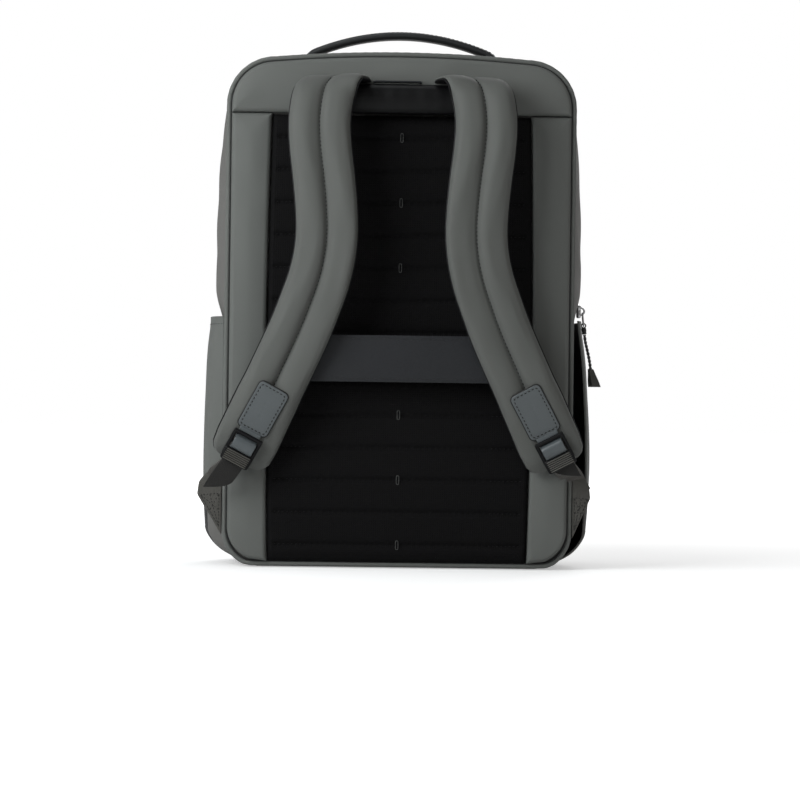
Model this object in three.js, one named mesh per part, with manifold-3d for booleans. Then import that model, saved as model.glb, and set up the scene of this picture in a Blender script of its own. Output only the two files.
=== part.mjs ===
// A laptop backpack with padded shoulder straps, side pockets, a top handle and a trolley band.
// Millimetres. The wearer's side faces -Y, +Z is up, and the origin is the middle of the flat base.
import * as THREE from "three";
import { mergeVertices } from "three/addons/utils/BufferGeometryUtils.js";
import Module from "manifold-3d";

const wasm = await Module();
wasm.setup();

// Bag body
const bagHeight = 443;
const backHalfWidth = 149;
const baseDepth = 138;
const topDepth = 108;
const bellyDepth = 8;
const topRadius = 40;
const baseRadius = 32;
const topCrownHeight = 5;
const sideSwellWidth = 12;
const edgeRoundRadius = 16;
const frontCrownHeight = 7;
const wallThickness = 4;
const clearance = 0.3;

// Main zip
const zipSetBack = 78;
const slotWidth = 10;
const zipEndDrop = 11;
const tapeThickness = 1.8;
const tapeRecessDepth = 0.6;

// Zip pull
const sliderLength = 12;
const sliderPlay = 1;
const sliderThickness = 3;
const sliderRise = 10;
const bailRadius = 3.2;
const bailWireRadius = 0.85;
const linkHalfLength = 6;
const linkRadius = 2.3;
const linkWireRadius = 0.7;
const pullLean = 6;
const eyeRadius = 1.9;
const eyeWireRadius = 0.6;
const capLength = 6;
const capRadius = 2.1;
const capNeck = 0.8;
const pullCordRadius = 1.45;
const tagLength = 18;
const tagTopWidth = 5;
const tagBaseWidth = 10;
const tagTopThickness = 4.5;
const tagBaseThickness = 8;
const tagNeck = 0.2;

// Back pads and piping
const padThickness = 12;
const padEdgeRadius = 4;
const padCornerStart = 32;
const pipingRadius = 2.2;
const seamDrop = 52;
const meshHalfWidth = 111;
const meshBow = 2.6;
const seamGap = 2.4;
const meshThickness = 11;
const ribPitch = 28;
const firstRib = 20.5;
const grooveDepth = 1.8;
const grooveHalfWidth = 3;
const ribCrown = 0.98;

// Yoke between the strap roots, and the hang loop on it
const yokeHalfLength = 56;
const yokeHeight = 20;
const yokeDepth = 15.5;
const loopLength = 41;
const loopWidth = 10;
const loopThickness = 2;
const loopLift = 0.8;
const loopSetOut = 0.42;

// Band over the trolley handle
const bandHeight = 40;
const bandMiddleHeight = 180;
const bandThickness = 1.6;
const bandStandOff = 24;
const bandSeamDepth = 7;

// Shoulder straps
const strapWidth = 52;
const strapPadHeight = 10;
const backingThickness = 1.6;
const backingOverhang = 0.8;
const strapStandOff = 39;
const strapRootDrop = 27;

// Strap patch, ladder buckle, keeper and webbing
const patchLength = 42;
const patchWidth = 26;
const patchCornerRadius = 4;
const patchThickness = 1.6;
const patchEdgeRadius = 0.7;
const patchFromEnd = 46;
const patchTurn = 9;
const buckleBelowPatch = 3.5;
const buckleThickness = 3.5;
const buckleRail = 3.2;
const buckleLift = 4;
const topBarWidth = 3.2;
const upperSlotWidth = 6.4;
const centreBarWidth = 3;
const lowerSlotWidth = 10;
const gripBarWidth = 6.4;
const gripRise = 1.6;
const gripHollow = 1;
const webbingWidth = 19.5;
const webbingThickness = 1.4;
const webbingPlay = 0.55;
const leftTailLength = 30;
const rightTailLength = 17;

// Anchor tabs at the side seams
const tabReach = 21;
const tabFoot = 27;
const tabRise = 35;
const tabHeight = 52;
const tabThickness = 3;

// Side pockets
const pocketHeight = 216;
const pocketDepth = 15;
const pocketThickness = 2;
const pocketFront = 0.88;
const pocketBaseHeight = 62;
const liningThickness = 1;

// Top handle
const handleSetBack = 55;
const handleRiseHeight = 23;
const handleSagHeight = 26.5;
const handleThickness = 7.2;
const handleWidth = 18;
const handleFootThickness = 3;
const handleFootWidth = 22;
const handleFootStart = 76;
const handleFootEnd = 91;
const handleHalfSpan = 99;

const backY = -baseDepth / 2;
const padBackY = backY - clearance;
const padFaceY = padBackY - padThickness;
const padHalfWidth = backHalfWidth - pipingRadius - clearance;
const zipY = backY + zipSetBack;
const seamHeight = bagHeight - seamDrop;
const strapRootHeight = bagHeight - strapRootDrop;
const zipEndHeight = pocketHeight - zipEndDrop;
const sliderHeight = pocketHeight + sliderRise;
const sliderWidth = slotWidth - 2 * sliderPlay;
const tabPoint = tabFoot + tabRise;
const tabTop = tabFoot + tabHeight;
const buckleWidth = webbingWidth + 2 * (buckleRail + webbingPlay);
const buckleLength = topBarWidth + upperSlotWidth + centreBarWidth + lowerSlotWidth + gripBarWidth;
const buckleFromPatch = (patchLength + buckleLength) / 2 + buckleBelowPatch;
const degrees = Math.PI / 180;

const greyFabric = { color: 0x686b6a, roughness: 0.85, metalness: 0 };
const blackMesh = { color: 0x141415, roughness: 0.95, metalness: 0 };
const darkLeather = { color: 0x3a3d3d, roughness: 0.55, metalness: 0 };
const patchLeather = { color: 0x5c6466, roughness: 0.5, metalness: 0 };
const bandLeather = { color: 0x2f3235, roughness: 0.7, metalness: 0 };
const webbingCloth = { color: 0x4c4a46, roughness: 0.9, metalness: 0 };
const blackPlastic = { color: 0x17181a, roughness: 0.35, metalness: 0 };
const silverMetal = { color: 0xc9cacc, roughness: 0.25, metalness: 1 };

const bag = new THREE.Group();

function addPiece(name, geometry, finish) {
  const mesh = new THREE.Mesh(geometry, new THREE.MeshStandardMaterial(finish));
  mesh.name = name;
  bag.add(mesh);
}

const point = (x, y, z) => new THREE.Vector3(x, y, z);
const mirrored = (p) => point(-p.x, p.y, p.z);
const smooth = (x) => THREE.MathUtils.smoothstep(x, 0, 1);

// Value of a column of a table at a place between its rows
function readTable(rows, key, at, column) {
  const next = rows.findIndex((row) => row[key] >= at);
  if (next <= 0) return rows[next === 0 ? 0 : rows.length - 1][column];
  const [a, b] = [rows[next - 1], rows[next]];
  return THREE.MathUtils.lerp(a[column], b[column], (at - a[key]) / (b[key] - a[key]));
}

// Closed surface from points and triangles, turned so that its faces point out
function surfaceOf(points, faces) {
  let volume = 0;
  for (const [a, b, c] of faces) volume += points[a].dot(points[b].clone().cross(points[c]));
  const turned = volume < 0 ? faces.map(([a, b, c]) => [a, c, b]) : faces;
  const geometry = new THREE.BufferGeometry();
  geometry.setAttribute("position", new THREE.Float32BufferAttribute(points.flatMap((p) => p.toArray()), 3));
  geometry.setIndex(turned.flat());
  return geometry;
}

// Solid through a row of closed rings that all have as many points, each end closed by a fan
function loft(rings) {
  const count = rings[0].length;
  const points = rings.flat();
  const faces = [];
  for (let r = 0; r + 1 < rings.length; r++) {
    for (let i = 0; i < count; i++) {
      const [a, b] = [r * count + i, r * count + ((i + 1) % count)];
      faces.push([a, b, b + count], [a, b + count, a + count]);
    }
  }
  for (const [ring, turn] of [[0, 1], [rings.length - 1, -1]]) {
    const middle = points.length;
    points.push(rings[ring].reduce((sum, p) => sum.add(p), point(0, 0, 0)).divideScalar(count));
    for (let i = 0; i < count; i++) {
      const [a, b] = [ring * count + i, ring * count + ((i + 1) % count)];
      faces.push(turn > 0 ? [middle, b, a] : [middle, a, b]);
    }
  }
  return surfaceOf(points, faces);
}

// Solid tube around a closed path: each ring joins the next and the last joins the first
function closedTube(rings) {
  const count = rings[0].length;
  const faces = [];
  for (let r = 0; r < rings.length; r++) {
    const next = ((r + 1) % rings.length) * count;
    for (let i = 0; i < count; i++) {
      const j = (i + 1) % count;
      faces.push([r * count + i, r * count + j, next + j], [r * count + i, next + j, next + i]);
    }
  }
  return surfaceOf(rings.flat(), faces);
}

// Thick sheet between two grids of rows and columns of points
function thickSheet(outer, inner) {
  const [rows, columns] = [outer.length, outer[0].length];
  const points = [...outer.flat(), ...inner.flat()];
  const offset = rows * columns;
  const faces = [];
  for (let r = 0; r + 1 < rows; r++) {
    for (let c = 0; c + 1 < columns; c++) {
      const a = r * columns + c;
      faces.push([a, a + 1, a + columns + 1], [a, a + columns + 1, a + columns]);
      const b = a + offset;
      faces.push([b, b + columns + 1, b + 1], [b, b + columns, b + columns + 1]);
    }
  }
  const rim = [];
  for (let c = 0; c < columns - 1; c++) rim.push(c);
  for (let r = 0; r < rows - 1; r++) rim.push(r * columns + columns - 1);
  for (let c = columns - 1; c > 0; c--) rim.push((rows - 1) * columns + c);
  for (let r = rows - 1; r > 0; r--) rim.push(r * columns);
  rim.forEach((a, i) => {
    const b = rim[(i + 1) % rim.length];
    faces.push([a, a + offset, b + offset], [a, b + offset, b]);
  });
  return surfaceOf(points, faces);
}

// Flat band along a path of stations, each a place and a direction across the band
function ribbon(stations, width, thickness) {
  return loft(stations.map(({ place, across }, i) => {
    const before = stations[Math.max(i - 1, 0)].place;
    const after = stations[Math.min(i + 1, stations.length - 1)].place;
    const out = after.clone().sub(before).cross(across).normalize();
    return [[-1, -1], [1, -1], [1, 1], [-1, 1]].map(([w, h]) =>
      place.clone().addScaledVector(across, (w * width) / 2).addScaledVector(out, (h * thickness) / 2));
  }));
}

// Booleans
function toSolid(geometry) {
  const bare = geometry.clone();
  bare.deleteAttribute("normal");
  bare.deleteAttribute("uv");
  const merged = mergeVertices(bare, 1e-4);
  return new wasm.Manifold(new wasm.Mesh({
    numProp: 3,
    vertProperties: new Float32Array(merged.attributes.position.array),
    triVerts: new Uint32Array(merged.index.array),
  }));
}

function toGeometry(solid) {
  const { numProp, vertProperties, triVerts } = solid.getMesh();
  const places = [];
  for (let i = 0; i < vertProperties.length; i += numProp) places.push(...vertProperties.subarray(i, i + 3));
  const geometry = new THREE.BufferGeometry();
  geometry.setAttribute("position", new THREE.Float32BufferAttribute(places, 3));
  geometry.setIndex([...triVerts]);
  return geometry;
}

// Swelling of the bag's sides at mid depth, as a share of sideSwellWidth. A level runs from 0 at the base
// to 1 at the pockets' mouth and 2 at the top: the pockets hold the bag in, and it bulges out above them.
const swellShape = [
  { level: 0, swell: 0 },
  { level: 0.18, swell: 0.2 },
  { level: 0.41, swell: 0.3 },
  { level: 0.88, swell: 0.36 },
  { level: 1, swell: 0.52 },
  { level: 1.07, swell: 1 },
  { level: 1.26, swell: 0.98 },
  { level: 1.51, swell: 0.85 },
  { level: 1.63, swell: 0.72 },
  { level: 1.77, swell: 0.42 },
  { level: 1.9, swell: 0.12 },
  { level: 2, swell: 0 },
];

function levelAt(z) {
  return z < pocketHeight ? z / pocketHeight : 1 + (z - pocketHeight) / (bagHeight - pocketHeight);
}

function heightAt(level) {
  return level < 1 ? level * pocketHeight : THREE.MathUtils.lerp(pocketHeight, bagHeight, level - 1);
}

const depthAt = (z) => {
  const up = z / bagHeight;
  return THREE.MathUtils.lerp(baseDepth, topDepth, up) + bellyDepth * Math.sin(Math.PI * up);
};
const topAt = (x) => bagHeight - topCrownHeight * (x / (backHalfWidth - topRadius)) ** 2;

// How much wider the bag is at a share of its depth and a height
function swellFactor(along, z) {
  const swell = readTable(swellShape, "level", levelAt(z), "swell");
  return 1 + (sideSwellWidth * swell * Math.sin(Math.PI * along) ** 0.8) / backHalfWidth;
}

// Point of the bag at a share of its depth, for an x and z on the back panel, inset from both faces
function bagPoint(along, x, z, inset = 0) {
  return point(x * swellFactor(along, z), backY + inset + along * (depthAt(z) - 2 * inset), z);
}

// Right half of the back panel's outline, drawn in by inset, from the base's middle to the top's
function halfOutline(inset) {
  const half = backHalfWidth - inset;
  const top = bagHeight - inset;
  const foot = Math.max(baseRadius - inset, padEdgeRadius);
  const shoulder = Math.max(topRadius - inset, padEdgeRadius);
  const arcSteps = 6;
  const spots = [[0, inset], [(half - foot) / 2, inset]];
  for (let i = 0; i <= arcSteps; i++) {
    const turn = (i / arcSteps) * 90 * degrees;
    spots.push([half - foot + foot * Math.sin(turn), inset + foot - foot * Math.cos(turn)]);
  }
  const sideTop = top - topCrownHeight - shoulder;
  for (const z of swellShape.map(({ level }) => heightAt(level))) {
    if (z > baseRadius + clearance && z < sideTop - clearance) spots.push([half, z]);
  }
  for (let i = 0; i <= arcSteps; i++) {
    const turn = (i / arcSteps) * 90 * degrees;
    spots.push([half - shoulder + shoulder * Math.cos(turn), sideTop + shoulder * Math.sin(turn)]);
  }
  for (const share of [0.66, 0.33, 0]) {
    const x = share * (half - shoulder);
    spots.push([x, top - topCrownHeight * share ** 2]);
  }
  return spots;
}

function outline(inset) {
  const right = halfOutline(inset);
  const left = right.slice(1, -1).reverse().map(([x, z]) => [-x, z]);
  return [...right, ...left];
}

// Rings of the body from back to front, each drawn in by a share of edgeRoundRadius
const outerRings = [
  { along: 0, inset: 0.14 },
  { along: 0.02, inset: 0.03 },
  { along: 0.07, inset: 0 },
  { along: 0.25, inset: 0 },
  { along: 0.5, inset: 0 },
  { along: 0.75, inset: 0 },
  { along: 0.88, inset: 0.1 },
  { along: 0.95, inset: 0.32 },
  { along: 0.985, inset: 0.62 },
  { along: 1, inset: 1 },
];
const innerRings = [
  { along: 0, inset: 0.3 },
  { along: 0.07, inset: 0 },
  { along: 0.5, inset: 0 },
  { along: 0.88, inset: 0.12 },
  { along: 1, inset: 0.9 },
];
const domeRings = [
  { share: 0.72, rise: 0.55 },
  { share: 0.38, rise: 0.9 },
];

// Closed form of the bag, drawn in by depth on every side
function bagForm(rows, depth) {
  const rings = rows.map(({ along, inset }) =>
    outline(inset * edgeRoundRadius + depth).map(([x, z]) => bagPoint(along, x, z, depth)));
  const middle = bagHeight / 2;
  const face = outline(rows.at(-1).inset * edgeRoundRadius + depth);
  for (const { share, rise } of domeRings) {
    rings.push(face.map(([x, z]) => {
      const p = bagPoint(1, x * share, middle + (z - middle) * share, depth);
      return point(p.x, p.y + rise * frontCrownHeight, p.z);
    }));
  }
  return toSolid(loft(rings));
}

// Block around the zip's line, from a height upwards, narrowed by margin on each side
function zipBlock(margin) {
  const reach = 2 * (backHalfWidth + sideSwellWidth);
  const block = new THREE.BoxGeometry(reach * 2, slotWidth - 2 * margin, bagHeight);
  block.translate(0, zipY, zipEndHeight + margin + bagHeight / 2);
  return toSolid(block);
}

function addBody() {
  const shell = bagForm(outerRings, 0).subtract(bagForm(innerRings, wallThickness));
  addPiece("main_body", toGeometry(shell.subtract(zipBlock(0))), greyFabric);
  const tape = bagForm(outerRings, tapeRecessDepth)
    .subtract(bagForm(outerRings, tapeRecessDepth + tapeThickness));
  addPiece("zipper_tape", toGeometry(tape.intersect(zipBlock(clearance))), blackMesh);
}

// Share of the bag's depth at which a place lies
const alongAt = (y, z) => (y - backY) / depthAt(z);
const sideX = (y, z, inset = 0) => (backHalfWidth - inset) * swellFactor(alongAt(y, z), z);

const sliderSeats = [];
for (const y of [zipY - sliderWidth / 2, zipY + sliderWidth / 2]) {
  for (const share of [-0.5, 0, 0.5]) sliderSeats.push(sideX(y, sliderHeight + share * sliderLength));
}
const sliderFaceX = Math.max(...sliderSeats) - tapeRecessDepth + clearance + sliderThickness;
const linkReach = bailRadius - bailWireRadius - linkWireRadius - clearance;
const bailDrop = Math.sqrt(bailRadius ** 2 - linkReach ** 2);
const linkSeatZ = sliderHeight - bailDrop + bailWireRadius + linkWireRadius + clearance;
const linkSeat = point(sliderFaceX + linkReach, zipY, linkSeatZ);

// Heights below the link's seat, along the hanging pull
const eyeDrop = 2 * linkHalfLength + linkWireRadius + clearance + eyeWireRadius - eyeRadius;
const capDrop = eyeDrop + eyeRadius;
const cordDrop = capDrop + capLength + clearance;

// The pull leans outwards over the pocket from its seat in the bail
const onPull = (drop) => linkSeat.clone().add(
  point(drop * Math.sin(pullLean * degrees), 0, -drop * Math.cos(pullLean * degrees)));
const cordExit = onPull(cordDrop);

// Route of the short plaited cord, from the cap down over the pocket to the tag
const pullRoute = [
  point(0, 0, 0),
  point(0.9, 0, -6),
  point(2.3, -0.1, -12),
  point(3.7, -0.3, -18),
  point(4.9, -0.5, -24),
  point(5.8, -0.8, -30.4),
].map((p) => p.add(cordExit));

// Stadium-shaped loop of round wire in the YZ plane
function linkGeometry() {
  const straight = linkHalfLength - linkRadius;
  const sides = 6;
  const turns = 6;
  const centres = [];
  for (const end of [1, -1]) {
    for (let i = 0; i <= turns; i++) {
      const angle = (i / turns) * Math.PI + (end > 0 ? 0 : Math.PI);
      const z = end * straight + linkRadius * Math.sin(angle);
      centres.push({ y: linkRadius * Math.cos(angle), z, angle });
    }
  }
  const rings = centres.map(({ y, z, angle }) => Array.from({ length: sides }, (_, i) => {
    const turn = (i / sides) * 2 * Math.PI;
    const out = linkWireRadius * Math.cos(turn);
    return point(linkWireRadius * Math.sin(turn), y + out * Math.cos(angle), z + out * Math.sin(angle));
  }));
  return closedTube(rings);
}

function addZipPull() {
  const body = new THREE.BoxGeometry(sliderThickness, sliderWidth, sliderLength);
  body.translate(-sliderThickness / 2, 0, 0);
  const bail = new THREE.TorusGeometry(bailRadius, bailWireRadius, 6, 14);
  bail.rotateX(Math.PI / 2);
  const slider = toGeometry(toSolid(body).add(toSolid(bail)));
  slider.translate(sliderFaceX, zipY, sliderHeight);
  addPiece("zip_slider", slider, silverMetal);

  const hang = (geometry) => geometry.rotateY(-pullLean * degrees).translate(...linkSeat.toArray());
  const link = linkGeometry();
  link.translate(0, 0, -linkHalfLength);
  addPiece("pull_link", hang(link), silverMetal);

  const eye = new THREE.TorusGeometry(eyeRadius, eyeWireRadius, 6, 12);
  eye.rotateX(Math.PI / 2);
  eye.translate(0, 0, -eyeDrop);
  const cap = new THREE.CylinderGeometry(capRadius, capRadius * capNeck, capLength, 10);
  cap.rotateX(Math.PI / 2);
  cap.translate(0, 0, -capDrop - capLength / 2);
  addPiece("pull_cap", hang(toGeometry(toSolid(cap).add(toSolid(eye)))), darkLeather);

  const section = new THREE.Shape();
  section.absarc(0, 0, pullCordRadius, 0, 2 * Math.PI);
  const cord = new THREE.ExtrudeGeometry(section, {
    steps: 12,
    curveSegments: 4,
    extrudePath: new THREE.CatmullRomCurve3(pullRoute),
  });
  addPiece("pull_cord", cord, blackMesh);

  const tagTop = pullRoute.at(-1);
  const leaf = (share, open) => [[-1, -1], [1, -1], [1, 1], [-1, 1]].map(([x, y]) => point(
    tagTop.x + (x * THREE.MathUtils.lerp(tagTopThickness, tagBaseThickness, open)) / 2,
    tagTop.y + (y * THREE.MathUtils.lerp(tagTopWidth, tagBaseWidth, open)) / 2,
    tagTop.z - clearance - share * tagLength,
  ));
  addPiece("pull_tag", loft([leaf(0, 0), leaf(tagNeck, 0), leaf(1, 1)]), darkLeather);
}

// Ring drawn in by distance along its own normals, in the XZ plane
function drawnIn(ring, distance) {
  const area = ring.reduce((sum, [x, z], i) => {
    const [nx, nz] = ring[(i + 1) % ring.length];
    return sum + x * nz - nx * z;
  }, 0);
  const side = Math.sign(area);
  return ring.map(([x, z], i) => {
    const [px, pz] = ring[(i + ring.length - 1) % ring.length];
    const [nx, nz] = ring[(i + 1) % ring.length];
    const first = new THREE.Vector2(x - px, z - pz).normalize();
    const second = new THREE.Vector2(nx - x, nz - z).normalize();
    const inward = new THREE.Vector2(-first.y - second.y, first.x + second.x).multiplyScalar(side);
    const scale = distance / (1 + first.dot(second));
    return [x + inward.x * scale, z + inward.y * scale];
  });
}

// Rings of a pad from its back to its face, in shares of its thickness and of padEdgeRadius
const padRings = [
  { out: 0, inset: 0 },
  { out: 0.55, inset: 0 },
  { out: 0.85, inset: 0.45 },
  { out: 1, inset: 1.6 },
];

function pad(shape, thickness) {
  return loft(padRings.map(({ out, inset }) =>
    drawnIn(shape, inset * padEdgeRadius).map(([x, z]) => point(x, padBackY - out * thickness, z))));
}

// Half width of the mesh panel at a height
function meshEdge(z) {
  const middle = seamHeight / 2;
  return meshHalfWidth + meshBow * (1 - ((z - middle) / middle) ** 2);
}

const padInset = pipingRadius + clearance;
const padFoot = 2 * pipingRadius + 2 * clearance;
const meshTop = seamHeight - seamGap / 2;
const topPadBase = seamHeight + seamGap / 2;

function addBackPads() {
  const crown = outline(padInset).filter(([, z]) => z > topPadBase + padEdgeRadius);
  const topShape = [[padHalfWidth, topPadBase], ...crown, [-padHalfWidth, topPadBase]];
  addPiece("back_top_pad", pad(topShape, padThickness), greyFabric);

  const lowest = padFoot;
  const corner = baseRadius - padInset;
  const centreX = padHalfWidth - corner;
  const outerSide = [];
  const arcSteps = 4;
  for (let i = 0; i <= arcSteps; i++) {
    const turn = THREE.MathUtils.lerp(padCornerStart, 90, i / arcSteps) * degrees;
    outerSide.push([centreX + corner * Math.sin(turn), lowest + corner - corner * Math.cos(turn)]);
  }
  outerSide.push([padHalfWidth, meshTop]);
  const innerSide = [1, 0.8, 0.6, 0.4, 0.2, 0].map((share) => {
    const z = lowest + share * (meshTop - lowest);
    return [meshEdge(z) + seamGap, z];
  });
  const sideShape = [...outerSide, ...innerSide];
  addPiece("back_side_pad_right", pad(sideShape, padThickness), greyFabric);
  addPiece("back_side_pad_left", pad(sideShape.map(([x, z]) => [-x, z]), padThickness), greyFabric);
}

// Heights of the mesh panel's grooves: one run above the trolley band and one below it
function grooveHeights() {
  const heights = [];
  for (let z = seamHeight - firstRib; z > bandMiddleHeight + bandHeight / 2; z -= ribPitch) heights.push(z);
  for (let z = bandMiddleHeight - bandHeight / 2; z > padFoot + ribPitch / 2; z -= ribPitch) heights.push(z);
  return heights;
}

function addMeshPanel() {
  const rows = [{ z: meshTop, out: 0.55 }, { z: meshTop - padEdgeRadius, out: 0.95 }];
  const groove = 1 - grooveDepth / meshThickness;
  for (const z of grooveHeights()) {
    rows.push({ z: z + grooveHalfWidth, out: ribCrown });
    rows.push({ z, out: groove });
    rows.push({ z: z - grooveHalfWidth, out: ribCrown });
  }
  rows.push({ z: padFoot + padEdgeRadius, out: 0.95 }, { z: padFoot, out: 0.55 });
  const columns = [
    { share: -1, inset: 0, out: 0.6 },
    { share: -1, inset: padEdgeRadius, out: 1 },
    { share: 0, inset: 0, out: 1.04 },
    { share: 1, inset: padEdgeRadius, out: 1 },
    { share: 1, inset: 0, out: 0.6 },
  ];
  const place = (row, column, out) => {
    const x = column.share * (meshEdge(row.z) - column.inset);
    return point(x, padBackY - out * meshThickness, row.z);
  };
  const face = rows.map((row) => columns.map((column) => place(row, column, row.out * column.out)));
  const back = rows.map((row) => columns.map((column) => place(row, column, 0)));
  addPiece("back_mesh_panel", thickSheet(face, back), blackMesh);
}

function addPiping() {
  const ring = outline(0);
  const sides = 6;
  const y = backY - clearance - pipingRadius;
  const lifted = ring.map(([x, z]) => [x, Math.max(z, pipingRadius + clearance)]);
  const rings = lifted.map(([x, z], i) => {
    const [px, pz] = lifted[(i + lifted.length - 1) % lifted.length];
    const [nx, nz] = lifted[(i + 1) % lifted.length];
    const out = new THREE.Vector2(nz - pz, px - nx).normalize();
    return Array.from({ length: sides }, (_, k) => {
      const turn = ((k + 0.5) / sides) * 2 * Math.PI;
      const away = pipingRadius * Math.cos(turn);
      return point(x + out.x * away, y + pipingRadius * Math.sin(turn), z + out.y * away);
    });
  });
  addPiece("back_piping", closedTube(rings), greyFabric);
}

// Section of the yoke, as shares of its depth and height above its foot
const yokeSection = [
  { out: 0, up: 0.04 },
  { out: 0.45, up: -0.03 },
  { out: 0.82, up: 0.12 },
  { out: 1, up: 0.42 },
  { out: 0.93, up: 0.78 },
  { out: 0.62, up: 0.98 },
  { out: 0, up: 1 },
];
const yokeTop = strapRootHeight - clearance;

function addYoke() {
  const ends = [
    { share: -1, size: 0.7 },
    { share: -0.9, size: 0.94 },
    { share: -0.5, size: 1 },
    { share: 0.5, size: 1 },
    { share: 0.9, size: 0.94 },
    { share: 1, size: 0.7 },
  ];
  const rings = ends.map(({ share, size }) => yokeSection.map(({ out, up }) => point(
    share * yokeHalfLength,
    padFaceY - clearance - out * yokeDepth * size,
    yokeTop + (up - 1) * yokeHeight * size,
  )));
  addPiece("yoke_pad", loft(rings), blackMesh);

  const middleY = padFaceY - clearance - yokeDepth * loopSetOut;
  const loopZ = yokeTop + clearance + loopThickness / 2;
  const across = point(0, 1, 0);
  const loopShape = [
    { share: -1, lift: 0 },
    { share: -0.9, lift: loopLift },
    { share: 0.9, lift: loopLift },
    { share: 1, lift: 0 },
  ];
  const stations = loopShape.map(({ share, lift }) => ({
    place: point((share * loopLength) / 2, middleY, loopZ + lift),
    across,
  }));
  addPiece("hang_loop", ribbon(stations, loopWidth, loopThickness), bandLeather);
}

// Half of the trolley band's path, as shares of the way from the middle to the seam and of its stand-off
const bandPath = [
  { out: 0, off: 1 },
  { out: 0.4, off: 0.99 },
  { out: 0.72, off: 0.95 },
  { out: 0.82, off: 0.8 },
  { out: 0.93, off: 0.32 },
  { out: 0.985, off: 0.12 },
];

function addTrolleyBand() {
  const seamX = meshEdge(bandMiddleHeight) + seamGap / 2;
  const half = bandPath.map(({ out, off }) =>
    point(out * seamX, padFaceY - off * bandStandOff, bandMiddleHeight));
  half.push(point(seamX, padFaceY + bandThickness, bandMiddleHeight));
  half.push(point(seamX, padFaceY + bandSeamDepth, bandMiddleHeight));
  const across = point(0, 0, 1);
  const stations = [...half.slice(1).reverse().map(mirrored), ...half].map((place) => ({ place, across }));
  addPiece("trolley_band", ribbon(stations, bandHeight, bandThickness), bandLeather);
}

// Middle line of a strap's underside, as shares of the half width, of the root's height and of the stand-off
const strapPath = [
  { out: 0.358, up: 1.0, off: 0.012 },
  { out: 0.358, up: 1.0, off: 0.26 },
  { out: 0.395, up: 0.998, off: 0.58 },
  { out: 0.44, up: 0.98, off: 0.78 },
  { out: 0.463, up: 0.953, off: 0.89 },
  { out: 0.474, up: 0.91, off: 0.95 },
  { out: 0.466, up: 0.86, off: 0.98 },
  { out: 0.446, up: 0.8, off: 1.0 },
  { out: 0.43, up: 0.74, off: 1.01 },
  { out: 0.425, up: 0.69, off: 1.0 },
  { out: 0.436, up: 0.643, off: 0.98 },
  { out: 0.466, up: 0.594, off: 0.94 },
  { out: 0.512, up: 0.546, off: 0.88 },
  { out: 0.566, up: 0.495, off: 0.82 },
  { out: 0.634, up: 0.44, off: 0.75 },
  { out: 0.702, up: 0.388, off: 0.68 },
  { out: 0.785, up: 0.326, off: 0.53 },
  { out: 0.855, up: 0.272, off: 0.36 },
  { out: 0.912, up: 0.229, off: 0.24 },
];
const strapCurve = new THREE.CatmullRomCurve3(strapPath.map(({ out, up, off }) =>
  point(out * backHalfWidth, padFaceY - off * strapStandOff, up * strapRootHeight)));
const strapLength = strapCurve.getLength();

// Frame of the right strap at a distance from its root: place, direction, across and out
function strapFrame(distance) {
  const share = THREE.MathUtils.clamp(distance / strapLength, 0, 1);
  const place = strapCurve.getPointAt(share);
  const ahead = strapCurve.getTangentAt(share);
  place.addScaledVector(ahead, distance - share * strapLength);
  const across = point(1, 0, 0).addScaledVector(ahead, -ahead.x).normalize();
  return { place, ahead, across, out: ahead.clone().cross(across).normalize() };
}

function onStrap(distance, side, height) {
  const { place, across, out } = strapFrame(distance);
  return place.clone().addScaledVector(across, side).addScaledVector(out, height);
}

// Thickness and width of the pad along the strap, as shares
const strapTaper = [
  { at: 0, width: 0.96, height: 0.28, groove: 0.3 },
  { at: 0.04, width: 0.98, height: 0.34, groove: 0.6 },
  { at: 0.08, width: 1, height: 0.62, groove: 1 },
  { at: 0.12, width: 1, height: 0.95, groove: 1 },
  { at: 0.16, width: 1, height: 1, groove: 1 },
  { at: 0.8, width: 1, height: 1, groove: 1 },
  { at: 0.83, width: 1.02, height: 0.96, groove: 0.35 },
  { at: 0.94, width: 1.04, height: 0.75, groove: 0.2 },
  { at: 0.975, width: 1, height: 0.62, groove: 0.2 },
  { at: 0.993, width: 0.86, height: 0.5, groove: 0.1 },
  { at: 1, width: 0.62, height: 0.35, groove: 0 },
];

// Section of the pad, as shares of its half width and height: two channels with a stitched valley between
const strapSection = [
  { side: -1, up: 0 },
  { side: -1, up: 0.42 },
  { side: -0.86, up: 0.85 },
  { side: -0.5, up: 1 },
  { side: -0.14, up: 0.84, valley: true },
  { side: 0, up: 0.55, valley: true },
  { side: 0.14, up: 0.84, valley: true },
  { side: 0.5, up: 1 },
  { side: 0.86, up: 0.85 },
  { side: 1, up: 0.42 },
  { side: 1, up: 0 },
  { side: 0, up: 0 },
];

function strapStations() {
  const shares = [0, 0.02, 0.04, 0.065, 0.09, 0.115, 0.145];
  for (let i = 1; i <= 14; i++) shares.push(0.145 + (i / 15) * 0.685);
  shares.push(0.83, 0.88, 0.93, 0.96, 0.98, 0.993, 1);
  return shares;
}

function strapRings(section) {
  return strapStations().map((at) => {
    const taper = { at };
    for (const name of ["width", "height", "groove"]) taper[name] = readTable(strapTaper, "at", at, name);
    return section(taper).map(([side, height]) => onStrap(at * strapLength, side, height));
  });
}

// Builds a right piece and its left mirror image
function addPair(name, rings, finish) {
  addPiece(`${name}_right`, loft(rings), finish);
  addPiece(`${name}_left`, loft(rings.map((ring) => ring.map(mirrored))), finish);
}

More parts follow.
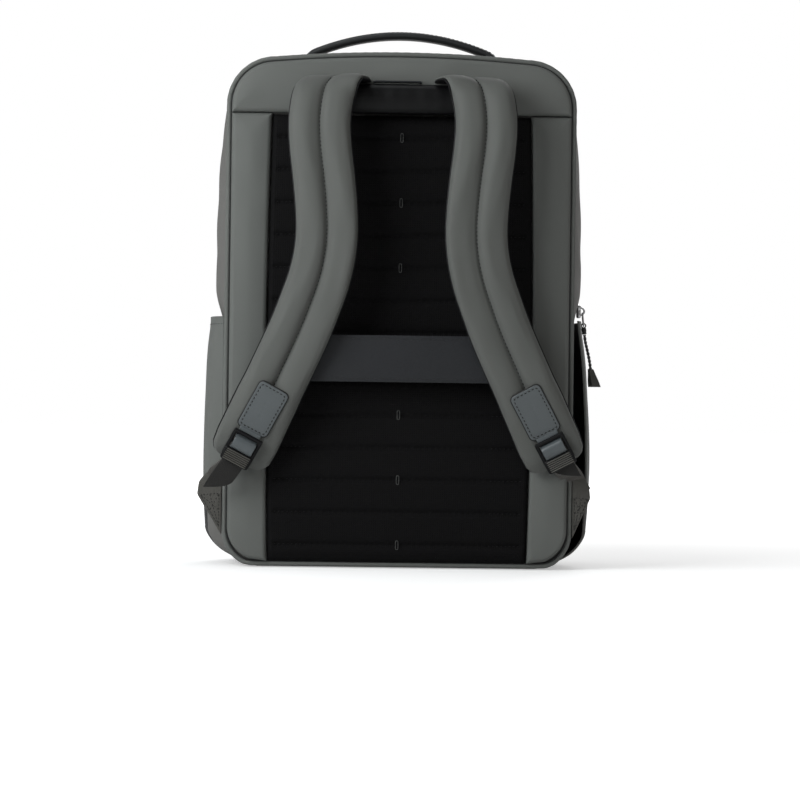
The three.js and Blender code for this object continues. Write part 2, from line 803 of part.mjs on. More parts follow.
function addStraps() {
  const low = backingThickness + clearance;
  addPair("strap_pad", strapRings(({ width, height, groove }) => strapSection.map(({ side, up, valley }) => {
    const sunk = valley ? THREE.MathUtils.lerp(1, up, groove) : up;
    return [(side * width * strapWidth) / 2, low + sunk * height * strapPadHeight];
  })), greyFabric);
  addPair("strap_backing", strapRings(({ width }) => {
    const half = (width * strapWidth) / 2 + backingOverhang;
    const under = [-half, 0, half].map((side) => [side, 0]);
    const over = [half, 0, -half].map((side) => [side, backingThickness]);
    return [...under, ...over];
  }), blackMesh);
}

// Rounded rectangle as a ring of [along, side] spots
function roundedRing(length, width, corner) {
  const spots = [];
  const arcSteps = 3;
  for (const [a, w, start] of [[1, 1, 0], [-1, 1, 90], [-1, -1, 180], [1, -1, 270]]) {
    for (let i = 0; i <= arcSteps; i++) {
      const turn = (start + (i / arcSteps) * 90) * degrees;
      spots.push([
        a * (length / 2 - corner) + corner * Math.cos(turn),
        w * (width / 2 - corner) + corner * Math.sin(turn),
      ]);
    }
  }
  return spots;
}

const patchMiddle = strapLength - patchFromEnd;
const patchBase = backingThickness + strapPadHeight + 2 * clearance;

function addPatches() {
  const turn = patchTurn * degrees;
  const ring = (inset, height) => {
    const flat = roundedRing(patchLength - 2 * inset, patchWidth - 2 * inset, patchCornerRadius - inset);
    return flat.map(([a, w]) => onStrap(
      patchMiddle + a * Math.cos(turn) - w * Math.sin(turn),
      a * Math.sin(turn) + w * Math.cos(turn),
      patchBase + height,
    ));
  };
  const layers = [
    { inset: 0, height: 0 },
    { inset: 0, height: patchThickness - patchEdgeRadius },
    { inset: patchEdgeRadius, height: patchThickness },
  ];
  addPair("strap_patch", layers.map(({ inset, height }) => ring(inset, height)), patchLeather);
}

// Frame of the right buckle: its middle, and the ways down along the webbing, across it and out from the bag
function buckleFrame() {
  const { place, ahead, across, out } = strapFrame(patchMiddle);
  const turn = patchTurn * degrees;
  const down = ahead.clone().multiplyScalar(Math.cos(turn)).addScaledVector(across, Math.sin(turn));
  const wide = down.clone().cross(out).negate();
  const lift = patchBase + buckleLift;
  const middle = place.clone().addScaledVector(down, buckleFromPatch).addScaledVector(out, lift);
  return { middle, down, wide, out };
}

const buckle = buckleFrame();
const onBuckle = (down, wide, out) => buckle.middle.clone()
  .addScaledVector(buckle.down, down)
  .addScaledVector(buckle.wide, wide)
  .addScaledVector(buckle.out, out);

const buckleTop = -buckleLength / 2;
const centreStart = buckleTop + topBarWidth + upperSlotWidth;
const gripStart = buckleLength / 2 - gripBarWidth;
const slotHalf = buckleWidth / 2 - buckleRail;
const halfThick = buckleThickness / 2;

function addBuckles() {
  const bars = [
    { from: buckleTop, width: topBarWidth, low: -halfThick, high: halfThick },
    { from: centreStart, width: centreBarWidth, low: -halfThick, high: halfThick },
    { from: gripStart, width: gripBarWidth, low: gripHollow - halfThick, high: halfThick + gripRise },
  ];
  const block = (from, to, left, right, low, high) => {
    const box = new THREE.BoxGeometry(to - from, right - left, high - low);
    box.translate((from + to) / 2, (left + right) / 2, (low + high) / 2);
    return toSolid(box);
  };
  const half = buckleWidth / 2;
  const railEnd = buckleLength / 2 - gripBarWidth / 3;
  const overlap = 1;
  let frame = block(buckleTop, railEnd, -half, -slotHalf, -halfThick, halfThick)
    .add(block(buckleTop, railEnd, slotHalf, half, -halfThick, halfThick));
  for (const { from, width, low, high } of bars) {
    frame = frame.add(block(from, from + width, -slotHalf - overlap, slotHalf + overlap, low, high));
  }
  const placed = new THREE.Matrix4().makeBasis(buckle.down, buckle.wide, buckle.out);
  const right = toGeometry(frame).applyMatrix4(placed.setPosition(buckle.middle));
  addPiece("ladder_buckle_right", right, blackPlastic);
  const left = right.clone().scale(-1, 1, 1);
  const order = [...left.index.array];
  for (let i = 0; i < order.length; i += 3) [order[i + 1], order[i + 2]] = [order[i + 2], order[i + 1]];
  left.setIndex(order);
  addPiece("ladder_buckle_left", left, blackPlastic);
}

// Both ribbons of a pair, the left one mirrored
function addRibbonPair(name, rightStations, leftStations, width, thickness, finish) {
  addPiece(`${name}_right`, ribbon(rightStations, width, thickness), finish);
  const turned = leftStations.map((station) => (
    { place: mirrored(station.place), across: mirrored(station.across) }));
  addPiece(`${name}_left`, ribbon(turned, width, thickness), finish);
}

// Keeper: a short band from the patch's lower edge over the buckle's top bar and back through the upper slot
function addKeepers() {
  const half = webbingThickness / 2;
  const away = half + 2 * clearance;
  const high = halfThick + away;
  const barFoot = buckleTop + topBarWidth + away;
  const route = [
    [buckleTop - buckleBelowPatch + clearance, 0],
    [buckleTop - 2 * away / 3, high * 0.8],
    [buckleTop + topBarWidth / 4, high],
    [barFoot - half, high * 0.95],
    [barFoot, halfThick * 0.6],
    [barFoot, -halfThick * 0.6],
    [barFoot - half, -high * 0.95],
    [buckleTop + topBarWidth / 4, -high],
  ];
  const stations = route.map(([down, out]) => ({ place: onBuckle(down, 0, out), across: buckle.wide }));
  addRibbonPair("buckle_keeper", stations, stations, webbingWidth, webbingThickness, bandLeather);
}

const tabFaceY = backY - clearance - 2 * pipingRadius;
const tabInnerX = backHalfWidth + pipingRadius + clearance;
const tabBackY = tabFaceY + tabThickness;

// Webbing: sewn on the tab, up behind the buckle, over its centre bar and out under its grip bar as the tail
function webbingStations(tail) {
  const half = webbingThickness / 2;
  const anchorX = tabInnerX + tabReach / 2;
  const anchorY = tabFaceY - clearance - half;
  const sideways = point(1, 0, 0);
  const stations = [
    point(anchorX, anchorY, tabPoint),
    point(anchorX, anchorY, tabTop),
    point(anchorX - webbingThickness, anchorY - 2 * webbingThickness, tabTop + 4 * webbingThickness),
  ].map((place) => ({ place, across: sideways }));
  const away = half + 2 * clearance;
  const over = halfThick + away + half / 2;
  const tailUnder = gripHollow - halfThick - away - half / 2;
  const mainUnder = -halfThick - 2 * away - 2 * half;
  const above = centreStart - away - half;
  const centreEnd = centreStart + centreBarWidth;
  const below = centreEnd + away + half;
  const gripEnd = gripStart + gripBarWidth;
  const route = [
    [gripEnd + webbingThickness, mainUnder - half],
    [gripStart, mainUnder],
    [centreEnd, mainUnder + half],
    [centreStart, mainUnder + webbingThickness],
    [above + half, mainUnder * 0.6],
    [above, -halfThick / 2],
    [above, halfThick / 2],
    [above + 2 * half, over * 0.86],
    [(centreStart + centreEnd) / 2, over],
    [below - 2 * half, over * 0.74],
    [below, 0],
    [below + 2 * half, tailUnder * 0.7],
    [(gripStart + gripEnd) / 2, tailUnder],
    [gripEnd + 2 * webbingThickness, tailUnder * 0.9],
    [gripEnd + tail * 0.6, tailUnder * 0.7],
    [gripEnd + tail, tailUnder],
  ];
  const first = onBuckle(route[0][0], 0, route[0][1]);
  const lower = stations.at(-1).place;
  for (const share of [0.35, 0.7]) {
    const across = sideways.clone().lerp(buckle.wide, smooth(share)).normalize();
    stations.push({ place: lower.clone().lerp(first, share), across });
  }
  stations.push(...route.map(([down, out]) => ({ place: onBuckle(down, 0, out), across: buckle.wide })));
  return stations;
}

function addWebbing() {
  const right = webbingStations(rightTailLength);
  const left = webbingStations(leftTailLength);
  addRibbonPair("strap_webbing", right, left, webbingWidth, webbingThickness, webbingCloth);
}

function addTabs() {
  const spots = [
    [tabInnerX, tabFoot],
    [tabInnerX + tabReach, tabPoint],
    [tabInnerX + tabReach * 0.8, tabTop],
    [tabInnerX, tabTop],
  ];
  addPair("anchor_tab", [tabFaceY, tabBackY].map((y) => spots.map(([x, z]) => point(x, y, z))), greyFabric);
}

// How far a pocket stands out round the bag's lower corner and up its side, as shares of pocketDepth
const pocketCorner = [
  { turn: 0.4, out: 0.12 },
  { turn: 0.55, out: 0.42 },
  { turn: 0.7, out: 0.68 },
  { turn: 0.85, out: 0.88 },
  { turn: 1, out: 1 },
];
const pocketSide = [
  { up: 0, left: 1, right: 1 },
  { up: 0.16, left: 1.03, right: 1.05 },
  { up: 0.4, left: 1, right: 1.05 },
  { up: 0.62, left: 0.96, right: 0.92 },
  { up: 0.82, left: 0.84, right: 0.7 },
  { up: 0.93, left: 0.66, right: 0.45 },
  { up: 1, left: 0.52, right: 0.3 },
];
const pocketRuns = [
  { share: 0, left: 0, right: 0.55 },
  { share: 0.05, left: 0.5, right: 0.64 },
  { share: 0.14, left: 0.82, right: 0.78 },
  { share: 0.3, left: 0.97, right: 0.95 },
  { share: 0.5, left: 1, right: 1 },
  { share: 0.7, left: 0.93, right: 0.93 },
  { share: 0.86, left: 0.65, right: 0.65 },
  { share: 0.95, left: 0.28, right: 0.28 },
  { share: 1, left: 0, right: 0 },
];
const pocketBack = 0.045;
const liningHeights = [0.2, 0.41, 0.6, 0.8, 0.88];
const liningRuns = [0.06, 0.12, 0.2, 0.3];

// Point of a pocket's wall round the corner or up the side, standing out by reach from the bag
function pocketPoint(spot, along, reach) {
  if (spot.turn !== undefined) {
    const turn = spot.turn * 90 * degrees;
    const radius = baseRadius + reach;
    const x = backHalfWidth - baseRadius + radius * Math.sin(turn);
    return bagPoint(along, x, baseRadius - radius * Math.cos(turn));
  }
  const z = baseRadius + spot.up * (pocketHeight - baseRadius);
  const p = bagPoint(along, backHalfWidth, z);
  return point(p.x + reach, p.y, p.z);
}

// Wall of a pocket over some of its spots, on the left or the right
function pocketWallGeometry(side, spots) {
  const grid = (extra) => pocketRuns.map((run) => {
    const along = THREE.MathUtils.lerp(pocketBack, pocketFront, run.share);
    return spots.map((spot) => {
      const shape = spot.turn !== undefined ? spot.out : spot[side];
      const p = pocketPoint(spot, along, clearance + pocketDepth * shape * run[side] + extra);
      return side === "left" ? mirrored(p) : p;
    });
  });
  return thickSheet(grid(pocketThickness), grid(0));
}

// Row of the pocket's side table at a height
function sideSpot(z) {
  const up = (z - baseRadius) / (pocketHeight - baseRadius);
  return {
    up,
    left: readTable(pocketSide, "up", up, "left"),
    right: readTable(pocketSide, "up", up, "right"),
  };
}

function addPockets() {
  const lower = sideSpot(pocketBaseHeight - clearance);
  const upper = sideSpot(pocketBaseHeight);
  const baseSpots = [...pocketCorner, ...pocketSide.filter(({ up }) => up > 0 && up < lower.up), lower];
  const panelSpots = [upper, ...pocketSide.filter(({ up }) => up > upper.up)];
  for (const side of ["left", "right"]) {
    addPiece(`pocket_panel_${side}`, pocketWallGeometry(side, panelSpots), greyFabric);
    addPiece(`pocket_base_${side}`, pocketWallGeometry(side, baseSpots), blackMesh);
  }
}

// Black lining on the bag's side, seen through the open back edge of the right pocket
function addLining() {
  const heights = liningHeights.map((share) => share * pocketHeight);
  const grid = (reach) => liningRuns.map((along) => heights.map((z) => {
    const p = bagPoint(along, backHalfWidth, z);
    return point(p.x + reach, p.y, p.z);
  }));
  addPiece("pocket_lining_right", thickSheet(grid(clearance + liningThickness), grid(clearance)), blackMesh);
}

// Top handle: a padded arch whose two flat feet lie on the bag's top
function addHandle() {
  const y = backY + handleSetBack;
  const half = [0, 0.16, 0.32, 0.48, 0.64, 0.77, 0.82, 0.87, 0.92, 1].map((share) => {
    const x = share * handleHalfSpan;
    const foot = smooth((x - handleFootStart) / (handleFootEnd - handleFootStart));
    const thick = THREE.MathUtils.lerp(handleThickness, handleFootThickness, foot);
    const wide = THREE.MathUtils.lerp(handleWidth, handleFootWidth, foot);
    const arch = bagHeight + handleRiseHeight - handleSagHeight * share ** 2;
    const rest = topAt(x) + clearance + thick / 2;
    return { x, z: THREE.MathUtils.lerp(arch, rest, foot), thick, wide };
  });
  const spans = [...half.slice(1).reverse().map((s) => ({ ...s, x: -s.x })), ...half];
  const rings = spans.map(({ x, z, thick, wide }) => [
    [-0.5, 0], [-0.42, 0.36], [-0.2, 0.5], [0.2, 0.5], [0.42, 0.36],
    [0.5, 0], [0.42, -0.36], [0.2, -0.5], [-0.2, -0.5], [-0.42, -0.36],
  ].map(([w, h]) => point(x, y + w * wide, z + h * thick)));
  addPiece("top_handle", loft(rings), darkLeather);
}

addBody();
addZipPull();
addBackPads();
addMeshPanel();
addPiping();
addYoke();
addTrolleyBand();
addStraps();
addPatches();
addBuckles();
addKeepers();
addWebbing();
addTabs();
addPockets();
addLining();
addHandle();

export default bag;
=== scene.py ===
import math
import bpy
import numpy as np
from mathutils import Matrix, Vector


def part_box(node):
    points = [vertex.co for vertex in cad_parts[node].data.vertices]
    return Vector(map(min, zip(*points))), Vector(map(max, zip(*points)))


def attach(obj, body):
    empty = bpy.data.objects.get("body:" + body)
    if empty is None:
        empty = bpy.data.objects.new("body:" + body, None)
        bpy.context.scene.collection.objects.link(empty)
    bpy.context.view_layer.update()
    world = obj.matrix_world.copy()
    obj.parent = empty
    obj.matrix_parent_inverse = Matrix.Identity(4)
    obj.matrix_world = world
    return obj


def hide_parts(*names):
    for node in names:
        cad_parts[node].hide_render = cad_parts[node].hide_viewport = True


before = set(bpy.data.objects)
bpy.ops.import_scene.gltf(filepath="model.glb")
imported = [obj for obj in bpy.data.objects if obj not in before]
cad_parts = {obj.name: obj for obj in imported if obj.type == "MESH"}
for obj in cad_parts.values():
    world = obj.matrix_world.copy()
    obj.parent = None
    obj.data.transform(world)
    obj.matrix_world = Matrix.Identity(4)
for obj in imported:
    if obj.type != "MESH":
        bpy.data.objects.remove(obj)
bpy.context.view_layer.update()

mm = 0.001                      # every shape below is worked out in millimetres
root = "root"


# A short table: the names of its columns, then its rows
def table(columns, *rows):
    return dict(zip(columns.split(), np.array(rows, float).T))


# Lowest and highest corner of a node's box
def boxOf(node):
    low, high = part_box(node)
    return np.array(low) / mm, np.array(high) / mm


# Sizes that many pieces share; those that a node's box shows are read from it
bagLow, bagHigh = boxOf("main_body")
bandLow, bandHigh = boxOf("trolley_band")
padLow, padHigh = boxOf("back_top_pad")
sidePadLow, sidePadHigh = boxOf("back_side_pad_right")
tapeLow, tapeHigh = boxOf("zipper_tape")
_, pocketHigh = boxOf("pocket_panel_right")
bag = {
    "height": bagHigh[2], "halfWidth": 149.0, "backY": bagLow[1], "baseDepth": 138.0, "topDepth": 108.0,
    "belly": 8.0, "topRadius": 40.0, "baseRadius": 32.0, "crown": 5.0, "swell": 12.0, "edgeRound": 16.0,
    "frontCrown": 7.0, "zipY": (tapeLow[1] + tapeHigh[1]) / 2, "zipEnd": tapeLow[2], "clear": 0.3,
    "piping": 2.2, "padBackY": padHigh[1], "padFaceY": padLow[1], "pocketTop": pocketHigh[2],
}


# Curves and tables

# Value of a column between its rows: a cubic through them, its slope at a row the mean of its neighbours'
def smoothTable(at, places, values):
    slopes = np.gradient(values, places)
    at = np.clip(at, places[0], places[-1])
    i = np.clip(np.searchsorted(places, at, side="right") - 1, 0, len(places) - 2)
    step = places[i + 1] - places[i]
    t = (at - places[i]) / step
    return ((2 * t**3 - 3 * t**2 + 1) * values[i] + (t**3 - 2 * t**2 + t) * step * slopes[i]
            + (3 * t**2 - 2 * t**3) * values[i + 1] + (t**3 - t**2) * step * slopes[i + 1])


def smoothStep(t):
    t = np.clip(t, 0, 1)
    return t * t * (3 - 2 * t)


def unit(v):
    return v / np.maximum(np.linalg.norm(v, axis=-1, keepdims=True), 1e-12)


# Curve through points: between each two of them a cubic whose knots lie the root of their distance apart
def curveThrough(points, fine=24):
    p = np.array(points, float)
    p = np.vstack([2 * p[0] - p[1], p, 2 * p[-1] - p[-2]])
    gaps = np.sqrt(np.linalg.norm(np.diff(p, axis=0), axis=1))[:, None]
    x0, x1, x2, x3 = p[:-3], p[1:-2], p[2:-1], p[3:]
    g0, g1, g2 = gaps[:-2], gaps[1:-1], gaps[2:]
    a = ((x1 - x0) / g0 - (x2 - x0) / (g0 + g1) + (x2 - x1) / g1) * g1
    b = ((x2 - x1) / g1 - (x3 - x1) / (g1 + g2) + (x3 - x2) / g2) * g1
    t = (np.arange(fine) / fine)[None, :, None]
    x1, x2, a, b = (v[:, None, :] for v in (x1, x2, a, b))
    line = x1 + a * t + (3 * (x2 - x1) - 2 * a - b) * t**2 + (2 * (x1 - x2) + a + b) * t**3
    return np.vstack([line.reshape(-1, p.shape[1]), p[-2]])


def distances(line):
    return np.concatenate([[0], np.cumsum(np.linalg.norm(np.diff(line, axis=0), axis=1))])


# Points at given distances along a line, straight on past its ends
def pointsAt(line, at):
    run = distances(line)
    inside = np.clip(at, 0, run[-1])
    places = np.stack([np.interp(inside, run, column) for column in line.T], -1)
    ends = np.where(at[:, None] > run[-1], unit(line[-1] - line[-2]), unit(line[1] - line[0]))
    return places + (at - inside)[:, None] * ends


def even(line, count):
    return pointsAt(line, np.linspace(0, distances(line)[-1], count))


# Ways ahead along a line of points
def tangents(line):
    return unit(np.gradient(line, axis=0))


# Angles of a full turn in even steps
def fullTurn(count):
    return np.arange(count) / count * 2 * np.pi


# Cosines or sines bent to a superellipse of a power
def bend(v, power):
    return np.sign(v) * np.abs(v) ** (2 / power)


# One way at every place
def alike(way, place):
    return np.broadcast_to(np.array(way, float), place.shape)


# Meshes

def addObject(name, points, faces, uv=None):
    mesh = bpy.data.meshes.new(name)
    mesh.from_pydata((np.asarray(points) * mm).tolist(), [], faces)
    if uv is not None:
        layer = mesh.uv_layers.new(name="UVMap")
        layer.data.foreach_set("uv", np.asarray(uv, np.float32).ravel() * mm)
    mesh.polygons.foreach_set("use_smooth", np.ones(len(mesh.polygons), bool))
    mesh.update()
    piece = bpy.data.objects.new(name, mesh)
    bpy.context.scene.collection.objects.link(piece)
    return piece


# Faces and corner UVs of a grid of rows and columns. wrap joins the last column to the first, loop the last
# row to the first; U is the mean distance across the columns and V the mean distance along the rows.
def gridFaces(grid, wrap=False, loop=False, first=0):
    rows, columns = grid.shape[:2]
    index = np.arange(rows * columns).reshape(rows, columns) + first
    full = np.concatenate([grid, grid[:, :1]], 1) if wrap else grid
    full = np.concatenate([full, full[:1]], 0) if loop else full
    index = np.concatenate([index, index[:, :1]], 1) if wrap else index
    index = np.concatenate([index, index[:1]], 0) if loop else index
    across = np.concatenate([[0], np.cumsum(np.linalg.norm(np.diff(full, axis=1), axis=2).mean(0))])
    along = np.concatenate([[0], np.cumsum(np.linalg.norm(np.diff(full, axis=0), axis=2).mean(1))])
    place = np.stack(np.meshgrid(across, along), -1)
    quad = lambda a: np.stack([a[:-1, :-1], a[:-1, 1:], a[1:, 1:], a[1:, :-1]], 2)
    return quad(index).reshape(-1, 4), quad(place).reshape(-1, 4, 2)


# Closed surface: tubes over a grid, whose end rows are closed by fans round their middles
def addTube(name, grid, loop=False):
    quads, uv = gridFaces(grid, wrap=True, loop=loop)
    points = grid.reshape(-1, 3)
    faces = quads.tolist()
    corners = uv.reshape(-1, 2)
    if not loop:
        count = grid.shape[1]
        for row, turn in ((0, 1), (grid.shape[0] - 1, -1)):
            ring = np.arange(count) + row * count
            middle = np.full(count, len(points))
            points = np.vstack([points, grid[row].mean(0)])
            fan = np.stack([middle, np.roll(ring, -1), ring][::turn], 1)
            faces += fan.tolist()
            flat = np.zeros((count, 3, 2))
            flat[:, :, 0] = np.linalg.norm(points[fan] - points[middle[0]], axis=2)
            corners = np.vstack([corners, flat.reshape(-1, 2)])
    return finished(addObject(name, points, faces, corners))


# Two grids with one border: the outer one and its backing, joined to one closed skin
def addShell(name, outer, inner):
    front, frontUv = gridFaces(outer)
    back, backUv = gridFaces(inner, first=outer.shape[0] * outer.shape[1])
    rim = borderLoop(outer.shape[0], outer.shape[1])
    a = np.stack([rim, np.roll(rim, -1)], 1)
    sides = np.hstack([a, a[:, ::-1] + outer.shape[0] * outer.shape[1]])
    points = np.vstack([outer.reshape(-1, 3), inner.reshape(-1, 3)])
    run = np.linalg.norm(points[a[:, 1]] - points[a[:, 0]], axis=1)
    place = np.concatenate([[0], np.cumsum(run)])
    sideUv = np.zeros((len(rim), 4, 2))
    sideUv[:, 0, 1] = sideUv[:, 3, 1] = place[:-1]
    sideUv[:, 1, 1] = sideUv[:, 2, 1] = place[1:]
    sideUv[:, 2:, 0] = np.linalg.norm(points[sides[:, 2:]] - points[sides[:, 1::-1]], axis=2)
    faces = front.tolist() + back[:, ::-1].tolist() + sides[:, ::-1].tolist()
    uv = np.vstack([frontUv.reshape(-1, 2), backUv[:, ::-1].reshape(-1, 2), sideUv[:, ::-1].reshape(-1, 2)])
    return finished(addObject(name, points, faces, uv))


# Indices round the border of a grid
def borderLoop(rows, columns):
    index = np.arange(rows * columns).reshape(rows, columns)
    return np.concatenate([index[0, :-1], index[:-1, -1], index[-1, :0:-1], index[:0:-1, 0]])


# Turns the faces out where the closed mesh's volume is negative
def finished(piece):
    mesh = piece.data
    mesh.calc_loop_triangles()
    tri = np.zeros(len(mesh.loop_triangles) * 3, np.int32)
    mesh.loop_triangles.foreach_get("vertices", tri)
    p = coordinates(piece)[tri.reshape(-1, 3)]
    if np.einsum("ij,ij->i", p[:, 0], np.cross(p[:, 1], p[:, 2])).sum() < 0:
        mesh.flip_normals()
    return piece


def coordinates(piece):
    p = np.zeros(len(piece.data.vertices) * 3, np.float32)
    piece.data.vertices.foreach_get("co", p)
    return p.reshape(-1, 3).astype(float) / mm


def setCoordinates(piece, p):
    piece.data.vertices.foreach_set("co", (p * mm).astype(np.float32).ravel())
    piece.data.update()


# Gives a piece its material, hides the nodes that it stands for and hangs it on its body
def dress(piece, material, slotName, *nodes):
    piece.data.materials.clear()
    piece.data.materials.append(material)
    if nodes:
        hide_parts(*nodes)
    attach(piece, root)
    return piece


# Joins pieces of one finish into one
def joined(name, pieces):
    with bpy.context.temp_override(active_object=pieces[0], selected_editable_objects=pieces):
        bpy.ops.object.join()
    pieces[0].name = name
    pieces[0].data.name = name
    return pieces[0]


def smoothed(piece, levels=1):
    step = piece.modifiers.new("subdivision", "SUBSURF")
    step.levels = levels
    step.render_levels = levels
    return piece


# Profile carried along a path: each row is place + across * side + out * height of one section
def swept(place, across, out, side, height):
    return place[:, None] + across[:, None] * side[..., None] + out[:, None] * height[..., None]


# Round section: rings of a radius about a line, in the plane of two sides
def roundSection(line, first, second, radius, turn):
    return swept(line, first, second, np.cos(turn)[None] * radius, np.sin(turn)[None] * radius)


# Flat woven band along a path: a rounded oblong section, its corners a superellipse
def bandGrid(place, across, width, thickness, sides=24, power=6.0):
    out = unit(np.cross(tangents(place), across))
    turn = fullTurn(sides)
    width = np.broadcast_to(np.asarray(width, float), (len(place),))[:, None]
    side = bend(np.cos(turn), power)[None] * width / 2
    height = np.broadcast_to(bend(np.sin(turn), power)[None] * thickness / 2, side.shape)
    return swept(place, across, out, side, height)


# Round tube along a path of points: a ring in the plane across the path at each
def tubeGrid(line, radius, sides=12):
    ahead = tangents(line)
    helper = np.where(np.abs(ahead[:, [2]]) < 0.9, [[0.0, 0, 1]], [[0.0, 1, 0]])
    first = unit(np.cross(ahead, helper))
    second = np.cross(ahead, first)
    radius = np.broadcast_to(np.asarray(radius, float), (len(line),))[:, None]
    return roundSection(line, first, second, radius, fullTurn(sides))


# Same tube round a closed path that lies about one plane; steady is that plane's normal
def ringTubeGrid(line, radius, steady, sides=12):
    ahead = unit(np.roll(line, -1, 0) - np.roll(line, 1, 0))
    second = np.broadcast_to(unit(np.array(steady, float)), ahead.shape)
    first = unit(np.cross(ahead, second))
    radius = np.broadcast_to(np.asarray(radius, float), (len(line),))[:, None]
    return roundSection(line, first, second, radius, fullTurn(sides))


# Stitches by what they sew: their length, the gap between two, the thread's radius and its rise
sewing = {
    "mesh": {"length": 1.5, "gap": 2.0, "radius": 0.42, "lift": 0.45},
    "band": {"length": 2.6, "gap": 1.2, "radius": 0.3, "lift": 0.25},
    "strap": {"length": 2.2, "gap": 1.2, "radius": 0.5, "lift": 0.35},
    "patch": {"length": 2.2, "gap": 1.3, "radius": 0.5, "lift": 0.45},
    "tab": {"length": 1.9, "gap": 0.9, "radius": 0.32, "lift": 0.25},
    "pocket": {"length": 2.4, "gap": 1.2, "radius": 0.35, "lift": 0.25},
    "handle": {"length": 2.8, "gap": 1.0, "radius": 0.24, "lift": 0.12},
}


# Row of stitches along a path: each a thread that rises from the cloth and goes back in, its height a half
# sine of its length, its radius thinner at both ends
def addStitches(name, line, normals, kind):
    stitch = sewing[kind]
    run = distances(line)
    pitch = stitch["length"] + stitch["gap"]
    count = max(int(run[-1] // pitch), 1)
    rings, sides = 5, 5
    t = np.linspace(0, 1, rings)
    starts = (np.arange(count) + 0.5) * run[-1] / count - stitch["length"] / 2
    at = (starts[:, None] + t[None] * stitch["length"]).ravel()
    place = np.stack([np.interp(at, run, column) for column in line.T], -1)
    up = unit(np.stack([np.interp(at, run, column) for column in normals.T], -1))
    ahead = unit(np.stack([np.interp(at, run, column) for column in tangents(line).T], -1))
    side = unit(np.cross(ahead, up))
    arch = np.tile(np.sin(np.pi * t), count)[:, None]
    radius = stitch["radius"] * (0.45 + 0.55 * arch)
    place = place + up * (stitch["lift"] * arch - 0.4 * stitch["radius"])
    grid = roundSection(place, side, up, radius, fullTurn(sides)).reshape(count, rings, sides, 3)
    one, oneUv = gridFaces(grid[0], wrap=True)
    ends = np.array([[0, 4, 3, 2, 1], [0, 1, 2, 3, 4]]) + np.array([[0], [(rings - 1) * sides]])
    shift = (np.arange(count) * rings * sides)[:, None, None]
    faces = (one[None] + shift).reshape(-1, 4).tolist() + (ends[None] + shift).reshape(-1, sides).tolist()
    uv = np.vstack([np.tile(oneUv.reshape(-1, 2), (count, 1)), np.zeros((count * 2 * sides, 2))])
    return finished(addObject(name, grid.reshape(-1, 3), faces, uv))


# Camera: level and far off, at the photo's slight turn to the left and its small lean
view = {"distance": 2500.0, "height": 145.0, "azimuth": -1.25, "lean": 0.75, "aimX": 1.2, "pixel": 0.86,
        "wide": 800, "sensor": 36.0, "near": 0.1, "far": 100.0}


def addCamera():
    turn = math.radians(view["azimuth"])
    aim = Vector((view["aimX"], bag["padFaceY"], view["height"])) * mm
    camera = bpy.data.objects.new("viewCamera", bpy.data.cameras.new("viewCamera"))
    bpy.context.scene.collection.objects.link(camera)
    camera.location = aim + Vector((math.sin(turn), -math.cos(turn), 0)) * view["distance"] * mm
    look = (aim - camera.location).to_track_quat("-Z", "Y").to_matrix().to_4x4()
    camera.matrix_world = (Matrix.Translation(camera.location) @ look
                           @ Matrix.Rotation(math.radians(view["lean"]), 4, "Z"))
    camera.data.sensor_width = view["sensor"]
    camera.data.lens = view["sensor"] * view["distance"] / (view["pixel"] * view["wide"])
    camera.data.clip_start = view["near"]
    camera.data.clip_end = view["far"]
    bpy.context.scene.camera = camera


addCamera()
print("camera stands")


# Shader groups and materials

def newGroup(name, inputs, outputs):
    group = bpy.data.node_groups.new(name, "ShaderNodeTree")
    for label, kind, value in inputs:
        socket = group.interface.new_socket(name=label, in_out="INPUT", socket_type=kind)
        if value is not None:
            socket.default_value = value
    for label, kind in outputs:
        group.interface.new_socket(name=label, in_out="OUTPUT", socket_type=kind)
    return group, group.nodes.new("NodeGroupInput"), group.nodes.new("NodeGroupOutput")


def addNode(tree, kind, **settings):
    node = tree.nodes.new(kind)
    for key, value in settings.items():
        if key in node.inputs:
            node.inputs[key].default_value = value
        else:
            setattr(node, key, value)
    return node


def arithmetic(tree, operation, first, second=None, clamp=False):
    node = addNode(tree, "ShaderNodeMath", operation=operation, use_clamp=clamp)
    for socket, value in zip(node.inputs, (first, second)):
        if value is None:
            continue
        if isinstance(value, (int, float)):
            socket.default_value = value
        else:
            tree.links.new(value, socket)
    return node.outputs[0]


def noiseOf(tree, vector, scale, detail=2.0, roughness=0.5):
    node = addNode(tree, "ShaderNodeTexNoise", Detail=detail, Roughness=roughness)
    tree.links.new(vector, node.inputs["Vector"])
    if isinstance(scale, (int, float)):
        node.inputs["Scale"].default_value = scale
    else:
        tree.links.new(scale, node.inputs["Scale"])
    return node.outputs["Fac"]


